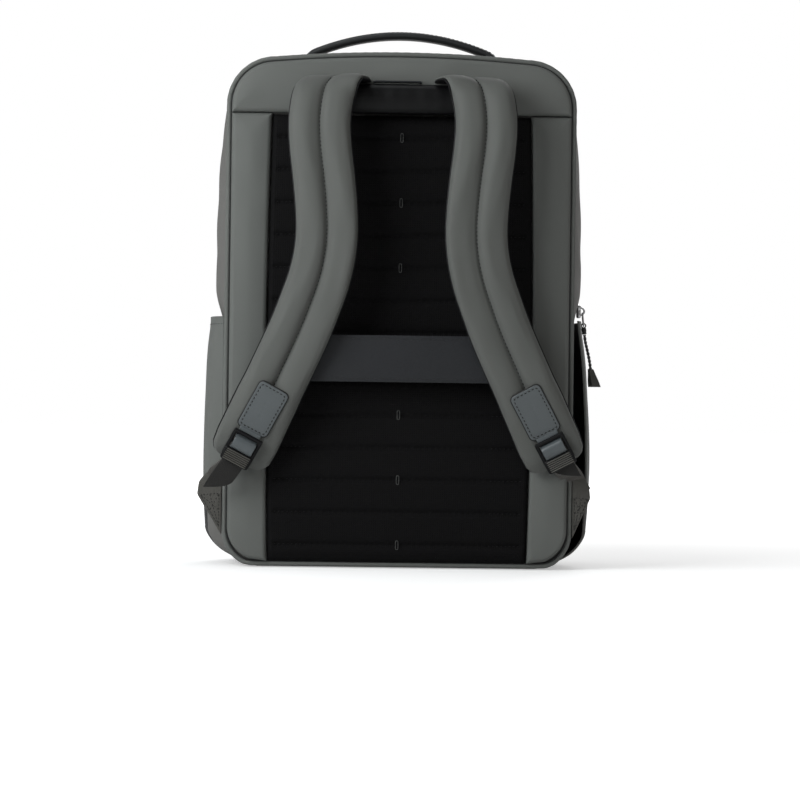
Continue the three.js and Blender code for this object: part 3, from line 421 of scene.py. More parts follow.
# Plain weave: threads run both ways, and each is high where it passes over the other
def makeWeaveGroup():
    group, given, put = newGroup("plainWeave", [
        ("Vector", "NodeSocketVector", None), ("Threads", "NodeSocketFloat", 2000.0),
        ("Loose", "NodeSocketFloat", 0.25)], [("Height", "NodeSocketFloat"), ("Gap", "NodeSocketFloat")])
    split = addNode(group, "ShaderNodeSeparateXYZ")
    group.links.new(given.outputs["Vector"], split.inputs[0])
    wobble = noiseOf(group, given.outputs["Vector"], 260.0)
    stray = arithmetic(group, "MULTIPLY", wobble, given.outputs["Loose"])
    waves = []
    for axis in ("X", "Y"):
        run = arithmetic(group, "MULTIPLY", split.outputs[axis], given.outputs["Threads"])
        run = arithmetic(group, "ADD", run, stray)
        waves.append(arithmetic(group, "SINE", arithmetic(group, "MULTIPLY", run, math.pi)))
    over = arithmetic(group, "MULTIPLY", waves[0], waves[1])
    ridge = arithmetic(group, "MULTIPLY", arithmetic(group, "ABSOLUTE", waves[0]),
                       arithmetic(group, "ABSOLUTE", waves[1]))
    high = arithmetic(group, "ADD", arithmetic(group, "MULTIPLY", over, 0.25), ridge)
    group.links.new(high, put.inputs["Height"])
    closed = arithmetic(group, "MULTIPLY", ridge, 3.0, clamp=True)
    group.links.new(arithmetic(group, "SUBTRACT", 1.0, closed, clamp=True), put.inputs["Gap"])
    return group


# Leather grain: cells of two sizes with soft creases between them
def makeGrainGroup():
    group, given, put = newGroup("leatherGrain", [
        ("Vector", "NodeSocketVector", None), ("Cells", "NodeSocketFloat", 900.0)],
        [("Height", "NodeSocketFloat"), ("Crease", "NodeSocketFloat")])
    heights = []
    for share in (1.0, 2.3):
        cells = addNode(group, "ShaderNodeTexVoronoi", feature="DISTANCE_TO_EDGE")
        group.links.new(given.outputs["Vector"], cells.inputs["Vector"])
        scale = arithmetic(group, "MULTIPLY", given.outputs["Cells"], share)
        group.links.new(scale, cells.inputs["Scale"])
        heights.append(arithmetic(group, "MULTIPLY", cells.outputs["Distance"], 3.0, clamp=True))
    both = arithmetic(group, "ADD", heights[0], arithmetic(group, "MULTIPLY", heights[1], 0.4))
    group.links.new(both, put.inputs["Height"])
    group.links.new(arithmetic(group, "SUBTRACT", 1.0, heights[0], clamp=True), put.inputs["Crease"])
    return group


# Knitted spacer mesh: round holes in staggered rows, as depth and as a mask
def makeMeshGroup():
    group, given, put = newGroup("spacerMesh", [
        ("Vector", "NodeSocketVector", None), ("Holes", "NodeSocketFloat", 550.0)],
        [("Height", "NodeSocketFloat"), ("Hole", "NodeSocketFloat")])
    cells = addNode(group, "ShaderNodeTexVoronoi", feature="F1", Randomness=0.12)
    group.links.new(given.outputs["Vector"], cells.inputs["Vector"])
    group.links.new(given.outputs["Holes"], cells.inputs["Scale"])
    rim = arithmetic(group, "MULTIPLY", cells.outputs["Distance"], 2.2, clamp=True)
    group.links.new(rim, put.inputs["Height"])
    hole = arithmetic(group, "SUBTRACT", 1.0, arithmetic(group, "MULTIPLY", rim, 1.6, clamp=True), clamp=True)
    group.links.new(hole, put.inputs["Hole"])
    return group


# Cloth tone: broad patches and fine flecks about one, for multiplying a colour
def makeToneGroup():
    group, given, put = newGroup("clothTone", [
        ("Vector", "NodeSocketVector", None), ("Patches", "NodeSocketFloat", 12.0),
        ("Flecks", "NodeSocketFloat", 1400.0), ("Amount", "NodeSocketFloat", 0.1)],
        [("Tone", "NodeSocketFloat")])
    broad = noiseOf(group, given.outputs["Vector"], given.outputs["Patches"], 3.0)
    fine = noiseOf(group, given.outputs["Vector"], given.outputs["Flecks"], 1.0)
    both = arithmetic(group, "ADD", arithmetic(group, "MULTIPLY", broad, 0.6),
                      arithmetic(group, "MULTIPLY", fine, 0.4))
    offset = arithmetic(group, "MULTIPLY", arithmetic(group, "SUBTRACT", both, 0.5), given.outputs["Amount"])
    group.links.new(arithmetic(group, "ADD", offset, 1.0), put.inputs["Tone"])
    return group


weaveGroup = makeWeaveGroup()
grainGroup = makeGrainGroup()
meshGroup = makeMeshGroup()
toneGroup = makeToneGroup()


def placeGroup(tree, group, vector, **values):
    node = addNode(tree, "ShaderNodeGroup", node_tree=group)
    tree.links.new(vector, node.inputs["Vector"])
    for key, value in values.items():
        node.inputs[key].default_value = value
    return node


# What a look has where it says nothing else, and the reliefs: the group, its density and its hollows
plainLook = {"metal": 0.0, "specular": 0.5, "sheen": 0.0, "patches": 14.0, "flecks": 1300.0, "amount": 0.16}
reliefs = {"weave": (weaveGroup, "Threads", "Gap"), "grain": (grainGroup, "Cells", "Crease"),
           "holes": (meshGroup, "Holes", "Hole")}


# One material: a base colour times the cloth's tone, darkened in the relief's hollows as painted shade, and
# the relief as bump
def makeMaterial(name, look):
    look = plainLook | look
    material = bpy.data.materials.new(name)
    material.use_nodes = True
    tree = material.node_tree
    shader = tree.nodes["Principled BSDF"]
    for label, key in (("Metallic", "metal"), ("Specular IOR Level", "specular"), ("Sheen Weight", "sheen")):
        shader.inputs[label].default_value = look[key]
    where = addNode(tree, "ShaderNodeTexCoord").outputs["UV"]
    tone = placeGroup(tree, toneGroup, where, Patches=look["patches"], Flecks=look["flecks"],
                      Amount=look["amount"]).outputs["Tone"]
    for key, (group, density, hollow) in reliefs.items():
        if key not in look:
            continue
        node = placeGroup(tree, group, where, **{density: look[key]})
        # Painted shade: the hollows' mask, times the look's depth, darkens the colour
        hollowShade = arithmetic(tree, "MULTIPLY", node.outputs[hollow], look["depth"])
        tone = arithmetic(tree, "MULTIPLY", tone, arithmetic(tree, "SUBTRACT", 1.0, hollowShade))
        bump = addNode(tree, "ShaderNodeBump", Strength=look["bump"], Distance=look["reach"])
        tree.links.new(node.outputs["Height"], bump.inputs["Height"])
        tree.links.new(bump.outputs["Normal"], shader.inputs["Normal"])
    colour = addNode(tree, "ShaderNodeMix", data_type="RGBA", blend_type="MULTIPLY")
    colour.inputs["Factor"].default_value = 1.0
    colour.inputs["A"].default_value = (*look["colour"], 1)
    tree.links.new(tone, colour.inputs["B"])
    tree.links.new(colour.outputs["Result"], shader.inputs["Base Color"])
    rough = arithmetic(tree, "MULTIPLY", tone, look["roughness"])
    tree.links.new(rough, shader.inputs["Roughness"])
    return material


# In each look, depth is how much painted shade darkens the relief's hollows
looks = {
    "greyCloth": {"colour": (0.13, 0.136, 0.128), "roughness": 0.7, "specular": 0.25, "sheen": 0.05,
                  "weave": 1900.0, "depth": 0.25, "bump": 0.25, "reach": 0.0002},
    # Darker copy of the grey fabric: painted shade on the shoulder straps
    "shadedStrapCloth": {"colour": (0.107, 0.111, 0.104), "roughness": 0.68, "specular": 0.28, "sheen": 0.05,
                   "weave": 1900.0, "depth": 0.25, "bump": 0.25, "reach": 0.0002},
    # Lighter, warmer copy of the grey fabric: painted warm light on the body and the pockets' rims
    "litGussetCloth": {"colour": (0.146, 0.143, 0.136), "roughness": 0.75, "specular": 0.2, "sheen": 0.05,
                    "weave": 1900.0, "depth": 0.25, "bump": 0.25, "reach": 0.0002},
    "blackMesh": {"colour": (0.0058, 0.0056, 0.0059), "roughness": 0.9, "specular": 0.08,
                  "holes": 520.0, "depth": 0.7, "bump": 0.5, "reach": 0.0006},
    "blackCloth": {"colour": (0.006, 0.006, 0.0068), "roughness": 0.55, "specular": 0.25,
                   "weave": 1500.0, "depth": 0.3, "bump": 0.3, "reach": 0.0002},
    "yokeCloth": {"colour": (0.003, 0.003, 0.0034), "roughness": 0.45, "specular": 0.22,
                  "weave": 1500.0, "depth": 0.3, "bump": 0.2, "reach": 0.0002},
    "tabCloth": {"colour": (0.085, 0.082, 0.074), "roughness": 0.75, "specular": 0.2, "sheen": 0.05,
                 "weave": 1700.0, "depth": 0.3, "bump": 0.3, "reach": 0.0002},
    "tagLeather": {"colour": (0.062, 0.064, 0.056), "roughness": 0.5, "specular": 0.4, "grain": 1300.0,
                   "depth": 0.3, "bump": 0.2, "reach": 0.0002},
    "bandLeather": {"colour": (0.022, 0.0235, 0.027), "roughness": 0.6, "specular": 0.3, "grain": 1100.0,
                    "flecks": 900.0, "amount": 0.5, "depth": 0.4, "bump": 0.3, "reach": 0.0002},
    "keeperLeather": {"colour": (0.085, 0.098, 0.104), "roughness": 0.4, "specular": 0.5, "grain": 1600.0,
                      "depth": 0.15, "bump": 0.12, "reach": 0.0001},
    "gripPlastic": {"colour": (0.078, 0.075, 0.066), "roughness": 0.5, "specular": 0.4, "amount": 0.3,
                    "grain": 2500.0, "depth": 0.2, "bump": 0.1, "reach": 0.0001},
    "handleLeather": {"colour": (0.02, 0.0215, 0.0225), "roughness": 0.45, "specular": 0.5, "grain": 1300.0,
                      "depth": 0.3, "bump": 0.2, "reach": 0.0002},
    "patchLeather": {"colour": (0.097, 0.109, 0.114), "roughness": 0.42, "specular": 0.45, "grain": 1600.0,
                     "depth": 0.15, "bump": 0.12, "reach": 0.0001},
    "tapeCloth": {"colour": (0.02, 0.021, 0.022), "roughness": 0.8, "specular": 0.3, "weave": 1300.0,
                  "depth": 0.4, "bump": 0.4, "reach": 0.0003},
    "coilNylon": {"colour": (0.014, 0.014, 0.015), "roughness": 0.35, "specular": 0.5, "amount": 0.1},
    "webbingCloth": {"colour": (0.085, 0.079, 0.072), "roughness": 0.7, "specular": 0.35, "sheen": 0.1,
                     "weave": 900.0, "depth": 0.45, "bump": 0.5, "reach": 0.0004},
    "cordCloth": {"colour": (0.03, 0.03, 0.031), "roughness": 0.3, "specular": 0.8, "weave": 1800.0,
                  "depth": 0.4, "bump": 0.4, "reach": 0.0003},
    # Dark thread for the stitches; the piping's seam cord and the patches' edge tubes also wear it as painted
    # shade
    "darkThreadAndShade": {"colour": (0.012, 0.012, 0.012), "roughness": 0.6, "specular": 0.4, "weave": 4000.0,
                   "depth": 0.3, "bump": 0.3, "reach": 0.0001},
    "dimThread": {"colour": (0.006, 0.006, 0.006), "roughness": 0.6, "specular": 0.2, "weave": 4000.0,
                  "depth": 0.3, "bump": 0.3, "reach": 0.0001},
    # Much darker copy of the webbing's cloth: painted shade on the webbing's tails
    "shadedTailCloth": {"colour": (0.016, 0.015, 0.014), "roughness": 0.65, "specular": 0.25, "sheen": 0.05,
                  "weave": 900.0, "depth": 0.45, "bump": 0.5, "reach": 0.0004},
    "greyThread": {"colour": (0.05, 0.052, 0.05), "roughness": 0.6, "specular": 0.4, "weave": 4000.0,
                   "depth": 0.3, "bump": 0.3, "reach": 0.0001},
    "blackPlastic": {"colour": (0.006, 0.006, 0.0065), "roughness": 0.4, "specular": 0.15, "amount": 0.25,
                     "grain": 2500.0, "depth": 0.1, "bump": 0.08, "reach": 0.0001},
    "silverMetal": {"colour": (0.62, 0.62, 0.63), "roughness": 0.24, "metal": 1.0, "amount": 0.12,
                    "patches": 300.0, "grain": 3500.0, "depth": 0.08, "bump": 0.05, "reach": 0.0001},
}
materials = {name: makeMaterial(name, look) for name, look in looks.items()}
print("materials mixed")


# The zip's pull. Its seat, link and cap follow the CAD slider and pull; the cord repeats the CAD route.
pull = {
    "lean": 6.0, "linkHalf": 6.0, "linkRadius": 2.3, "linkWire": 0.7, "bailRadius": 3.2, "bailWire": 0.85,
    "capRadius": 2.1, "capLength": 6.0, "eyeRadius": 1.9, "eyeWire": 0.6, "cordRadius": 1.45, "plies": 2,
    "twistPitch": 6.8, "tagLength": 16.5, "tagTop": 5.0, "tagBase": 10.0,
    "leaf": 1.3, "tagTurn": 32.0, "tagSpread": 2.4, "tagLean": 13.0,
}
sliderLow, sliderHigh = boxOf("zip_slider")
cordLow, cordHigh = boxOf("pull_cord")
cordRoute = np.array([
    (0.0, 0.0, 0.0),
    (0.9, 0.0, -6.0),
    (2.3, -0.1, -12.0),
    (3.7, -0.3, -18.0),
    (4.9, -0.5, -24.0),
    (5.8, -0.8, -30.4),
])


# Way down along the leaning pull and its two sides
def pullFrame():
    lean = math.radians(pull["lean"])
    down = np.array([math.sin(lean), 0, -math.cos(lean)])
    away = np.array([math.cos(lean), 0, math.sin(lean)])
    return down, away, np.array([0.0, 1.0, 0.0])


def cordStart():
    return np.array([cordLow[0] + pull["cordRadius"] + 0.03, bag["zipY"], cordHigh[2] - 0.15])


# Plaited cord: round plies whose middles turn round the route as they go down it, one twist each pitch
def addPullCord():
    line = even(curveThrough(cordRoute + cordStart()), 90)
    run = distances(line)
    ahead = tangents(line)
    first = unit(np.cross(ahead, [[0.0, 1, 0]]))
    second = np.cross(ahead, first)
    turn = fullTurn(48)
    twist = run[:, None] / pull["twistPitch"] * 2 * np.pi
    lobes = np.abs(np.cos((turn[None] - twist) * pull["plies"] / 2))
    radius = pull["cordRadius"] * (0.46 + 0.54 * lobes**0.7)
    piece = addTube("pullCord", roundSection(line, first, second, radius, turn))
    dress(piece, materials["cordCloth"], "plaited_cord", "pull_cord")
    return piece, line


# Folded tag: two leaves that spread from a neck, each a flat plate whose width grows towards its foot
def addPullTag(top):
    leaves = []
    rows = np.linspace(0, 1, 24)[:, None]
    facing = math.radians(pull["tagTurn"])
    wide = np.array([math.cos(facing), math.sin(facing), 0])
    apart = np.array([-math.sin(facing), math.cos(facing), 0])
    lean = math.radians(pull["tagLean"])
    down = np.array([math.sin(lean), 0, -math.cos(lean)])
    neck = pull["leaf"] * 0.6
    for side in (-1, 1):
        spread = neck + (pull["tagSpread"] - neck) * smoothStep(rows * 1.2)
        middle = top + down * (0.6 + rows * (pull["tagLength"] - 0.7)) + side * spread * apart
        width = pull["tagTop"] + (pull["tagBase"] - pull["tagTop"]) * rows[:, 0]
        leaves.append(addTube(f"leaf{side}", bandGrid(middle, alike(wide, middle), width, pull["leaf"])))
    turn = np.linspace(0, np.pi, 12)[:, None]
    fold = top - [0, 0, 1.1] + neck * (np.cos(turn) * apart + np.sin(turn) * [0, 0, 1])
    section = bandGrid(fold, alike(wide, fold), pull["tagTop"], pull["leaf"] * 0.8)
    leaves.append(addTube("leafFold", section))
    tag = joined("pullTag", leaves)
    return dress(tag, materials["tagLeather"], "dark_leather", "pull_tag")


pullCord, pullLine = addPullCord()
pullTag = addPullTag(pullLine[-1])


# Slider: a rounded plate with the wire bail over it
def addSlider():
    middle, half = (sliderLow + sliderHigh) / 2, (sliderHigh - sliderLow) / 2
    faceX = sliderHigh[0] - pull["bailRadius"] - pull["bailWire"]
    rows = np.linspace(-1, 1, 21)[:, None]
    waist = 1 - 0.16 * np.exp(-((rows - 0.1) / 0.35) ** 2)
    end = (1 - np.abs(rows) ** 6) ** (1 / 3)
    place = np.array([(sliderLow[0] + faceX) / 2, middle[1], middle[2]]) + rows * [0, 0, half[2]]
    turn = fullTurn(28)
    side = bend(np.cos(turn), 4)[None] * (half[1] - 0.1) * waist * end
    height = bend(np.sin(turn), 4)[None] * (faceX - sliderLow[0]) / 2 * (0.5 + 0.5 * end)
    plate = addTube("plate", swept(place, alike((0, 1, 0), place), alike((1, 0, 0), place), side, height))
    arc = np.linspace(-0.55, np.pi + 0.55, 26)
    wire = np.stack([faceX - 0.2 + pull["bailRadius"] * np.sin(arc), np.full(26, middle[1]),
                     middle[2] + pull["bailRadius"] * np.cos(arc)], -1)
    bail = addTube("bail", tubeGrid(wire, pull["bailWire"], 12))
    slider = joined("zipSlider", [plate, bail])
    return dress(slider, materials["silverMetal"], "silver_metal", "zip_slider")


# Link: round wire bent to a stadium, two half circles and two straights, hung in the bail
def addLink():
    linkLow, linkHigh = boxOf("pull_link")
    down, away, sideways = pullFrame()
    middle = (linkLow + linkHigh) / 2
    straight = pull["linkHalf"] - pull["linkRadius"]
    turn = np.linspace(0, np.pi, 16)
    upper = np.stack([pull["linkRadius"] * np.cos(turn), straight + pull["linkRadius"] * np.sin(turn)], -1)
    loop = np.vstack([upper, -upper])
    line = middle + loop[:, :1] * sideways - loop[:, 1:] * down
    link = addTube("pullLink", ringTubeGrid(line, pull["linkWire"], away, 10), loop=True)
    return dress(link, materials["silverMetal"], "silver_metal", "pull_link")


# Cap over the cord's end: a turned profile, radius by distance down, with a wire eye above it
def addCap():
    down, away, sideways = pullFrame()
    foot = cordStart() - down * 0.3
    profile = table("at radius", (0, 0.55), (0.02, 0.8), (0.1, 0.94), (0.3, 1), (0.55, 1), (0.6, 0.9),
                    (0.66, 0.9), (0.72, 1), (0.9, 0.92), (0.98, 0.8), (1, 0.7))
    rows = np.linspace(0, 1, 40)
    radius = smoothTable(rows, profile["at"], profile["radius"]) * pull["capRadius"]
    place = foot - down * pull["capLength"] * (1 - rows[:, None])
    section = roundSection(place, alike(away, place), alike(sideways, place), radius[:, None], fullTurn(20))
    turned = addTube("capBody", section)
    middle = foot - down * (pull["capLength"] + pull["eyeRadius"])
    ring = np.linspace(0, 2 * np.pi, 28, endpoint=False)
    line = middle + pull["eyeRadius"] * (np.cos(ring)[:, None] * down + np.sin(ring)[:, None] * away)
    eye = addTube("capEye", ringTubeGrid(line, pull["eyeWire"], sideways, 10), loop=True)
    cap = joined("pullCap", [turned, eye])
    return dress(cap, materials["handleLeather"], "dark_leather", "pull_cap")


addSlider()
addLink()
addCap()
print("zip pull made")


# The bag's form

levels = table("level swell", (0, 0), (0.18, 0.2), (0.41, 0.3), (0.88, 0.36), (1, 0.52), (1.07, 0.9),
               (1.26, 0.98), (1.51, 0.85), (1.63, 0.72), (1.77, 0.42), (1.9, 0.12), (2, 0))
edgeRound = table("along inset", (0, 0.14), (0.02, 0.03), (0.07, 0), (0.25, 0), (0.5, 0), (0.75, 0),
                  (0.88, 0.1), (0.95, 0.32), (0.985, 0.62), (1, 1))


def depthAt(z):
    up = z / bag["height"]
    return bag["baseDepth"] + (bag["topDepth"] - bag["baseDepth"]) * up + bag["belly"] * np.sin(np.pi * up)


# Share by which the bag is wider at a place: the swell at that height times a hump over its depth
def swellAt(along, z):
    level = np.where(z < bag["pocketTop"], z / bag["pocketTop"],
                     1 + (z - bag["pocketTop"]) / (bag["height"] - bag["pocketTop"]))
    swell = smoothTable(level, levels["level"], levels["swell"])
    hump = np.sin(np.pi * np.clip(along, 0, 1)) ** 0.8
    return 1 + bag["swell"] * np.clip(swell, 0, 1) * hump / bag["halfWidth"]


# Outline of the back panel: straight base, round corners, straight sides and a crowned top, from the base's
# middle to the right and round; x and z with the way out at each point
def outlineCurve(count, inset=0.0):
    half, top = bag["halfWidth"], bag["height"]
    foot, head, crown = bag["baseRadius"], bag["topRadius"], bag["crown"]
    corner = np.linspace(0, np.pi / 2, 40)
    base = np.stack([np.linspace(0, half - foot, 40), np.zeros(40)], -1)
    lower = np.stack([half - foot + foot * np.sin(corner), foot - foot * np.cos(corner)], -1)
    sideTop = top - crown - head
    upper = np.stack([half - head + head * np.cos(corner), sideTop + head * np.sin(corner)], -1)
    share = np.linspace(1, 0, 40)
    roof = np.stack([share * (half - head), top - crown * share**2], -1)
    right = np.vstack([base, lower[1:], upper, roof[1:]])
    ring = np.vstack([right, (right * [-1, 1])[-2::-1]])
    line = even(ring, count + 1)
    ahead = unit(np.roll(line[:-1], -1, 0) - np.roll(line[:-1], 1, 0))
    out = np.stack([ahead[:, 1], -ahead[:, 0]], -1)
    return line[:-1] - out * inset, out


body = {"round": 400, "recess": 1.7, "slotHalf": 5.0, "seamAlong": 0.86, "seamDepth": 0.9, "seamWidth": 1.3,
        "crease": 0.5}


# Body: rows run from the back panel's middle over its edge, forward along the gusset and over the front's
# rounded edge to the front's middle. The inset follows the edge table, sinks under the zip and at the front
# seam, and slow sines crease the cloth.
def addBagBody():
    xz, out = outlineCurve(body["round"])
    z = xz[:, 1]
    zipY, half = bag["zipY"], body["slotHalf"]
    depth = depthAt(z)
    front = bag["backY"] + depth
    behind = np.concatenate([[0, 0.004, 0.01, 0.02, 0.04], np.linspace(0.08, 1, 16)])
    slot = np.concatenate([[-1.12, -1.04], np.linspace(-1, 1, 7), [1.04, 1.12]]) * half
    ahead = np.concatenate([np.linspace(0.03, 0.55, 12), np.linspace(0.58, 1, 34)])
    rows = [bag["backY"] + t * (zipY - 1.2 * half - bag["backY"]) + 0 * z for t in behind]
    rows += [zipY + t + 0 * z for t in slot]
    rows += [zipY + 1.2 * half + t * (front - zipY - 1.2 * half) for t in ahead]
    y = np.array(rows)
    along = (y - bag["backY"]) / depth
    inset = smoothTable(along, edgeRound["along"], edgeRound["inset"]) * bag["edgeRound"]
    inSlot = smoothStep((1.02 * half - np.abs(y - zipY)) / 0.4) * smoothStep((z - bag["zipEnd"] + 1) / 2)
    inset = inset + body["recess"] * inSlot
    seam = np.exp(-(((along - body["seamAlong"]) * depth) / body["seamWidth"]) ** 2)
    inset = inset + body["seamDepth"] * seam
    turn = fullTurn(body["round"])
    ripple = np.sin(9 * turn + 5 * along) * np.sin(17 * turn - 3 + 7 * along)
    ripple = ripple + 0.6 * np.sin(31 * turn + 11 * along)
    away = np.clip(along * 6, 0, 1) * (1 - inSlot) * np.clip((z - 20) / 40, 0, 1)
    inset = inset - body["crease"] * ripple * away * 0.6
    place = xz[None] - out[None] * inset[..., None]
    sides = np.stack([place[..., 0] * swellAt(along, place[..., 1]), y, np.maximum(place[..., 1], 0.02)], -1)
    face = sides[-1]
    middle = np.array([0, bag["height"] / 2])
    domes = []
    for share in np.concatenate([np.linspace(0.985, 0.8, 8), np.linspace(0.74, 0.06, 15)]):
        x = face[:, 0] * share
        zz = middle[1] + (face[:, 2] - middle[1]) * share
        rise = bag["frontCrown"] * (1 - share**2.2)
        dent = 0.5 * np.sin(x / 31 + 1) * np.sin(zz / 43 + 2) * (1 - share**6)
        domes.append(np.stack([x, bag["backY"] + depthAt(zz) + rise + dent, zz], -1))
    backs = [np.stack([xz[:, 0] * share, bag["backY"] + 0 * z, middle[1] + (z - middle[1]) * share], -1)
             for share in (0.3, 0.9)]
    grid = np.concatenate([np.array(backs), sides, np.array(domes)])
    piece = addTube("bagBody", grid)
    # Its cloth is the grey fabric lightened and warmed: painted light
    return dress(piece, materials["litGussetCloth"], "grey_fabric", "main_body")


addBagBody()
print("bag body made")


# Zip in its slot: a woven tape and two coils
zipper = {"tapeInset": 0.9, "tapeThick": 0.7, "tapeHalf": 4.6, "coilOff": 1.0, "coilRadius": 0.75,
          "coilPitch": 1.3, "coilWire": 0.32, "coilRise": 0.55, "coilSteps": 6}


# Points of the zip's line at a distance y from its middle and an inset from the skin
def zipLine(side, inset, count=500):
    xz, out = outlineCurve(1600)
    keep = xz[:, 1] >= bag["zipEnd"]
    xz, out = xz[keep], out[keep]
    y = bag["zipY"] + side
    along = (y - bag["backY"]) / depthAt(xz[:, 1])
    place = xz - out * inset
    line = np.stack([place[:, 0] * swellAt(along, xz[:, 1]), y + 0 * along, place[:, 1]], -1)
    return even(line, count)


def addZip():
    offs = np.linspace(-1, 1, 9) * zipper["tapeHalf"]
    outer = np.stack([zipLine(off, zipper["tapeInset"]) for off in offs], 1)
    inner = np.stack([zipLine(off, zipper["tapeInset"] + zipper["tapeThick"]) for off in offs], 1)
    tape = addShell("zipTape", outer, inner)
    dress(tape, materials["tapeCloth"], "zip_tape", "zipper_tape")
    for side in (-1, 1):
        line = zipLine(side * zipper["coilOff"], zipper["tapeInset"] - zipper["coilRise"], 2000)
        run = distances(line)[-1]
        turns = run / zipper["coilPitch"]
        at = np.linspace(0, run, int(turns * zipper["coilSteps"]))
        place = pointsAt(line, at)
        ahead = unit(np.stack([np.interp(at, distances(line), c) for c in tangents(line).T], -1))
        across = alike((0, side, 0), place)
        out = unit(np.cross(ahead, across))
        turn = at / zipper["coilPitch"] * 2 * np.pi
        wave = np.cos(turn)[:, None] * across * 1.3 + np.sin(turn)[:, None] * out
        coil = place + zipper["coilRadius"] * wave
        piece = addTube(f"zipCoil{'Front' if side > 0 else 'Back'}", tubeGrid(coil, zipper["coilWire"], 5))
        dress(piece, materials["coilNylon"], "zip_tape")


addZip()
print("zip made")


# Padded pieces

# Distance of points from a closed line of points, both in one plane
def distanceTo(points, ring):
    a, b = ring, np.roll(ring, -1, 0)
    ab = b - a
    flat = points.reshape(-1, 2)
    result = np.full(len(flat), 1e9)
    for start, step in zip(a, ab):
        t = np.clip(((flat - start) @ step) / max(step @ step, 1e-9), 0, 1)
        result = np.minimum(result, np.linalg.norm(flat - start - t[:, None] * step, axis=1))
    return result.reshape(points.shape[:-1])


# Patch between four curves with shared corners: the blend of both pairs less the blend of the corners
def patchBetween(low, high, left, right, rows, columns):
    u = (0.5 - 0.5 * np.cos(np.pi * np.linspace(0, 1, columns)))
    v = (0.5 - 0.5 * np.cos(np.pi * np.linspace(0, 1, rows)))
    at = lambda line, t: pointsAt(np.array(line, float), t * distances(np.array(line, float))[-1])
    l, h, a, b = at(low, u), at(high, u), at(left, v), at(right, v)
    u, v = u[None, :, None], v[:, None, None]
    flat = ((1 - v) * l[None] + v * h[None] + (1 - u) * a[:, None] + u * b[:, None]
            - (1 - u) * (1 - v) * l[0] - u * (1 - v) * l[-1] - (1 - u) * v * h[0] - u * v * h[-1])
    return flat


# Height of a pad at a distance from its edge: a straight seat, a quarter circle over it, then a slow crown
def padHeight(distance, pad):
    edge = np.sqrt(np.clip(1 - (1 - np.clip(distance / pad["edge"], 0, 1)) ** 2, 0, 1))
    wall = (pad["thick"] - pad["crown"]) * (pad["seat"] + (1 - pad["seat"]) * edge)
    return wall + pad["crown"] * (1 - np.exp(-distance / (2.2 * pad["edge"])))


# Lets a pad swell as cloth over foam: the held points stay, pressure lifts the rest, each at most by cap.
# Its creases are then ironed out: each point's step becomes the mean of its own, counted twice, and its grid
# neighbours', a number of times down the rows and across the columns.
def letSwell(piece, held, pressure, cap, shape, ironing, frames=20):
    start = coordinates(piece)
    group = piece.vertex_groups.new(name="held")
    group.add(np.flatnonzero(held).tolist(), 1.0, "REPLACE")
    sewn = piece.modifiers.new("cloth", "CLOTH")
    sewn.settings.vertex_group_mass = "held"
    sewn.settings.quality = 6
    sewn.settings.mass = 0.2
    sewn.settings.tension_stiffness = 12
    sewn.settings.compression_stiffness = 12
    sewn.settings.bending_stiffness = 0.4
    sewn.settings.use_pressure = True
    sewn.settings.uniform_pressure_force = pressure
    sewn.settings.shrink_min = -0.02
    sewn.settings.effector_weights.gravity = 0
    sewn.collision_settings.use_collision = False
    sewn.point_cache.frame_start = 1
    sewn.point_cache.frame_end = frames
    scene = bpy.context.scene
    for number in range(1, frames + 1):
        scene.frame_set(number)
    shaped = piece.evaluated_get(bpy.context.evaluated_depsgraph_get()).to_mesh()
    moved = np.zeros(len(shaped.vertices) * 3, np.float32)
    shaped.vertices.foreach_get("co", moved)
    step = moved.reshape(-1, 3).astype(float) / mm - start
    size = np.linalg.norm(step, axis=1, keepdims=True)
    step = step * np.minimum(1, cap / np.maximum(size, 1e-6))
    count = shape[0] * shape[1]
    cloth = step[:count].reshape(*shape, 3)
    for axis, times in enumerate(ironing):
        for _ in range(times):
            padded = np.concatenate([cloth.take([0], axis), cloth, cloth.take([-1], axis)], axis)
            last = padded.shape[axis]
            cloth = (padded.take(range(last - 2), axis) + 2 * cloth + padded.take(range(2, last), axis)) / 4
    step[:count] = cloth.reshape(-1, 3)
    step[held] = 0
    piece.modifiers.remove(sewn)
    piece.vertex_groups.remove(group)
    scene.frame_set(1)
    setCoordinates(piece, start + step)
    print(piece.name, "swelled by up to", round(float(np.linalg.norm(step, axis=1).max()), 2), "mm")
    return piece


# Pad on the bag's back over a patch of x and z: its face stands padHeight out from the back
def addBackPad(name, flat, pad, material, slotName, node):
    border = flat.reshape(-1, 2)[borderLoop(*flat.shape[:2])]
    distance = distanceTo(flat, border)
    rise = padHeight(distance, pad)
    if "relief" in pad:
        rise = rise - pad["relief"](flat, distance)
    foot = bag["padBackY"] - 0 * rise
    face = np.stack([flat[..., 0], foot - rise, flat[..., 1]], -1)
    back = np.stack([flat[..., 0], foot, flat[..., 1]], -1)
    piece = addShell(name, face, back)
    dress(piece, material, slotName, node)
    return piece, distance


backPads = {"edge": 3.6, "thick": 11.4, "crown": 2.2, "seat": 0.45, "inset": 2.5, "seam": 0.7,
            "meshHalf": 111.0, "meshBow": 2.6, "topCrown": 3.2, "cap": 0.8, "pressure": 4.0, "seamZ": 0.9}


# Half width of the mesh panel at a height: widest at mid height
def meshEdge(z):
    middle = sidePadHigh[2] / 2
    return backPads["meshHalf"] + backPads["meshBow"] * (1 - ((z - middle) / middle) ** 2)


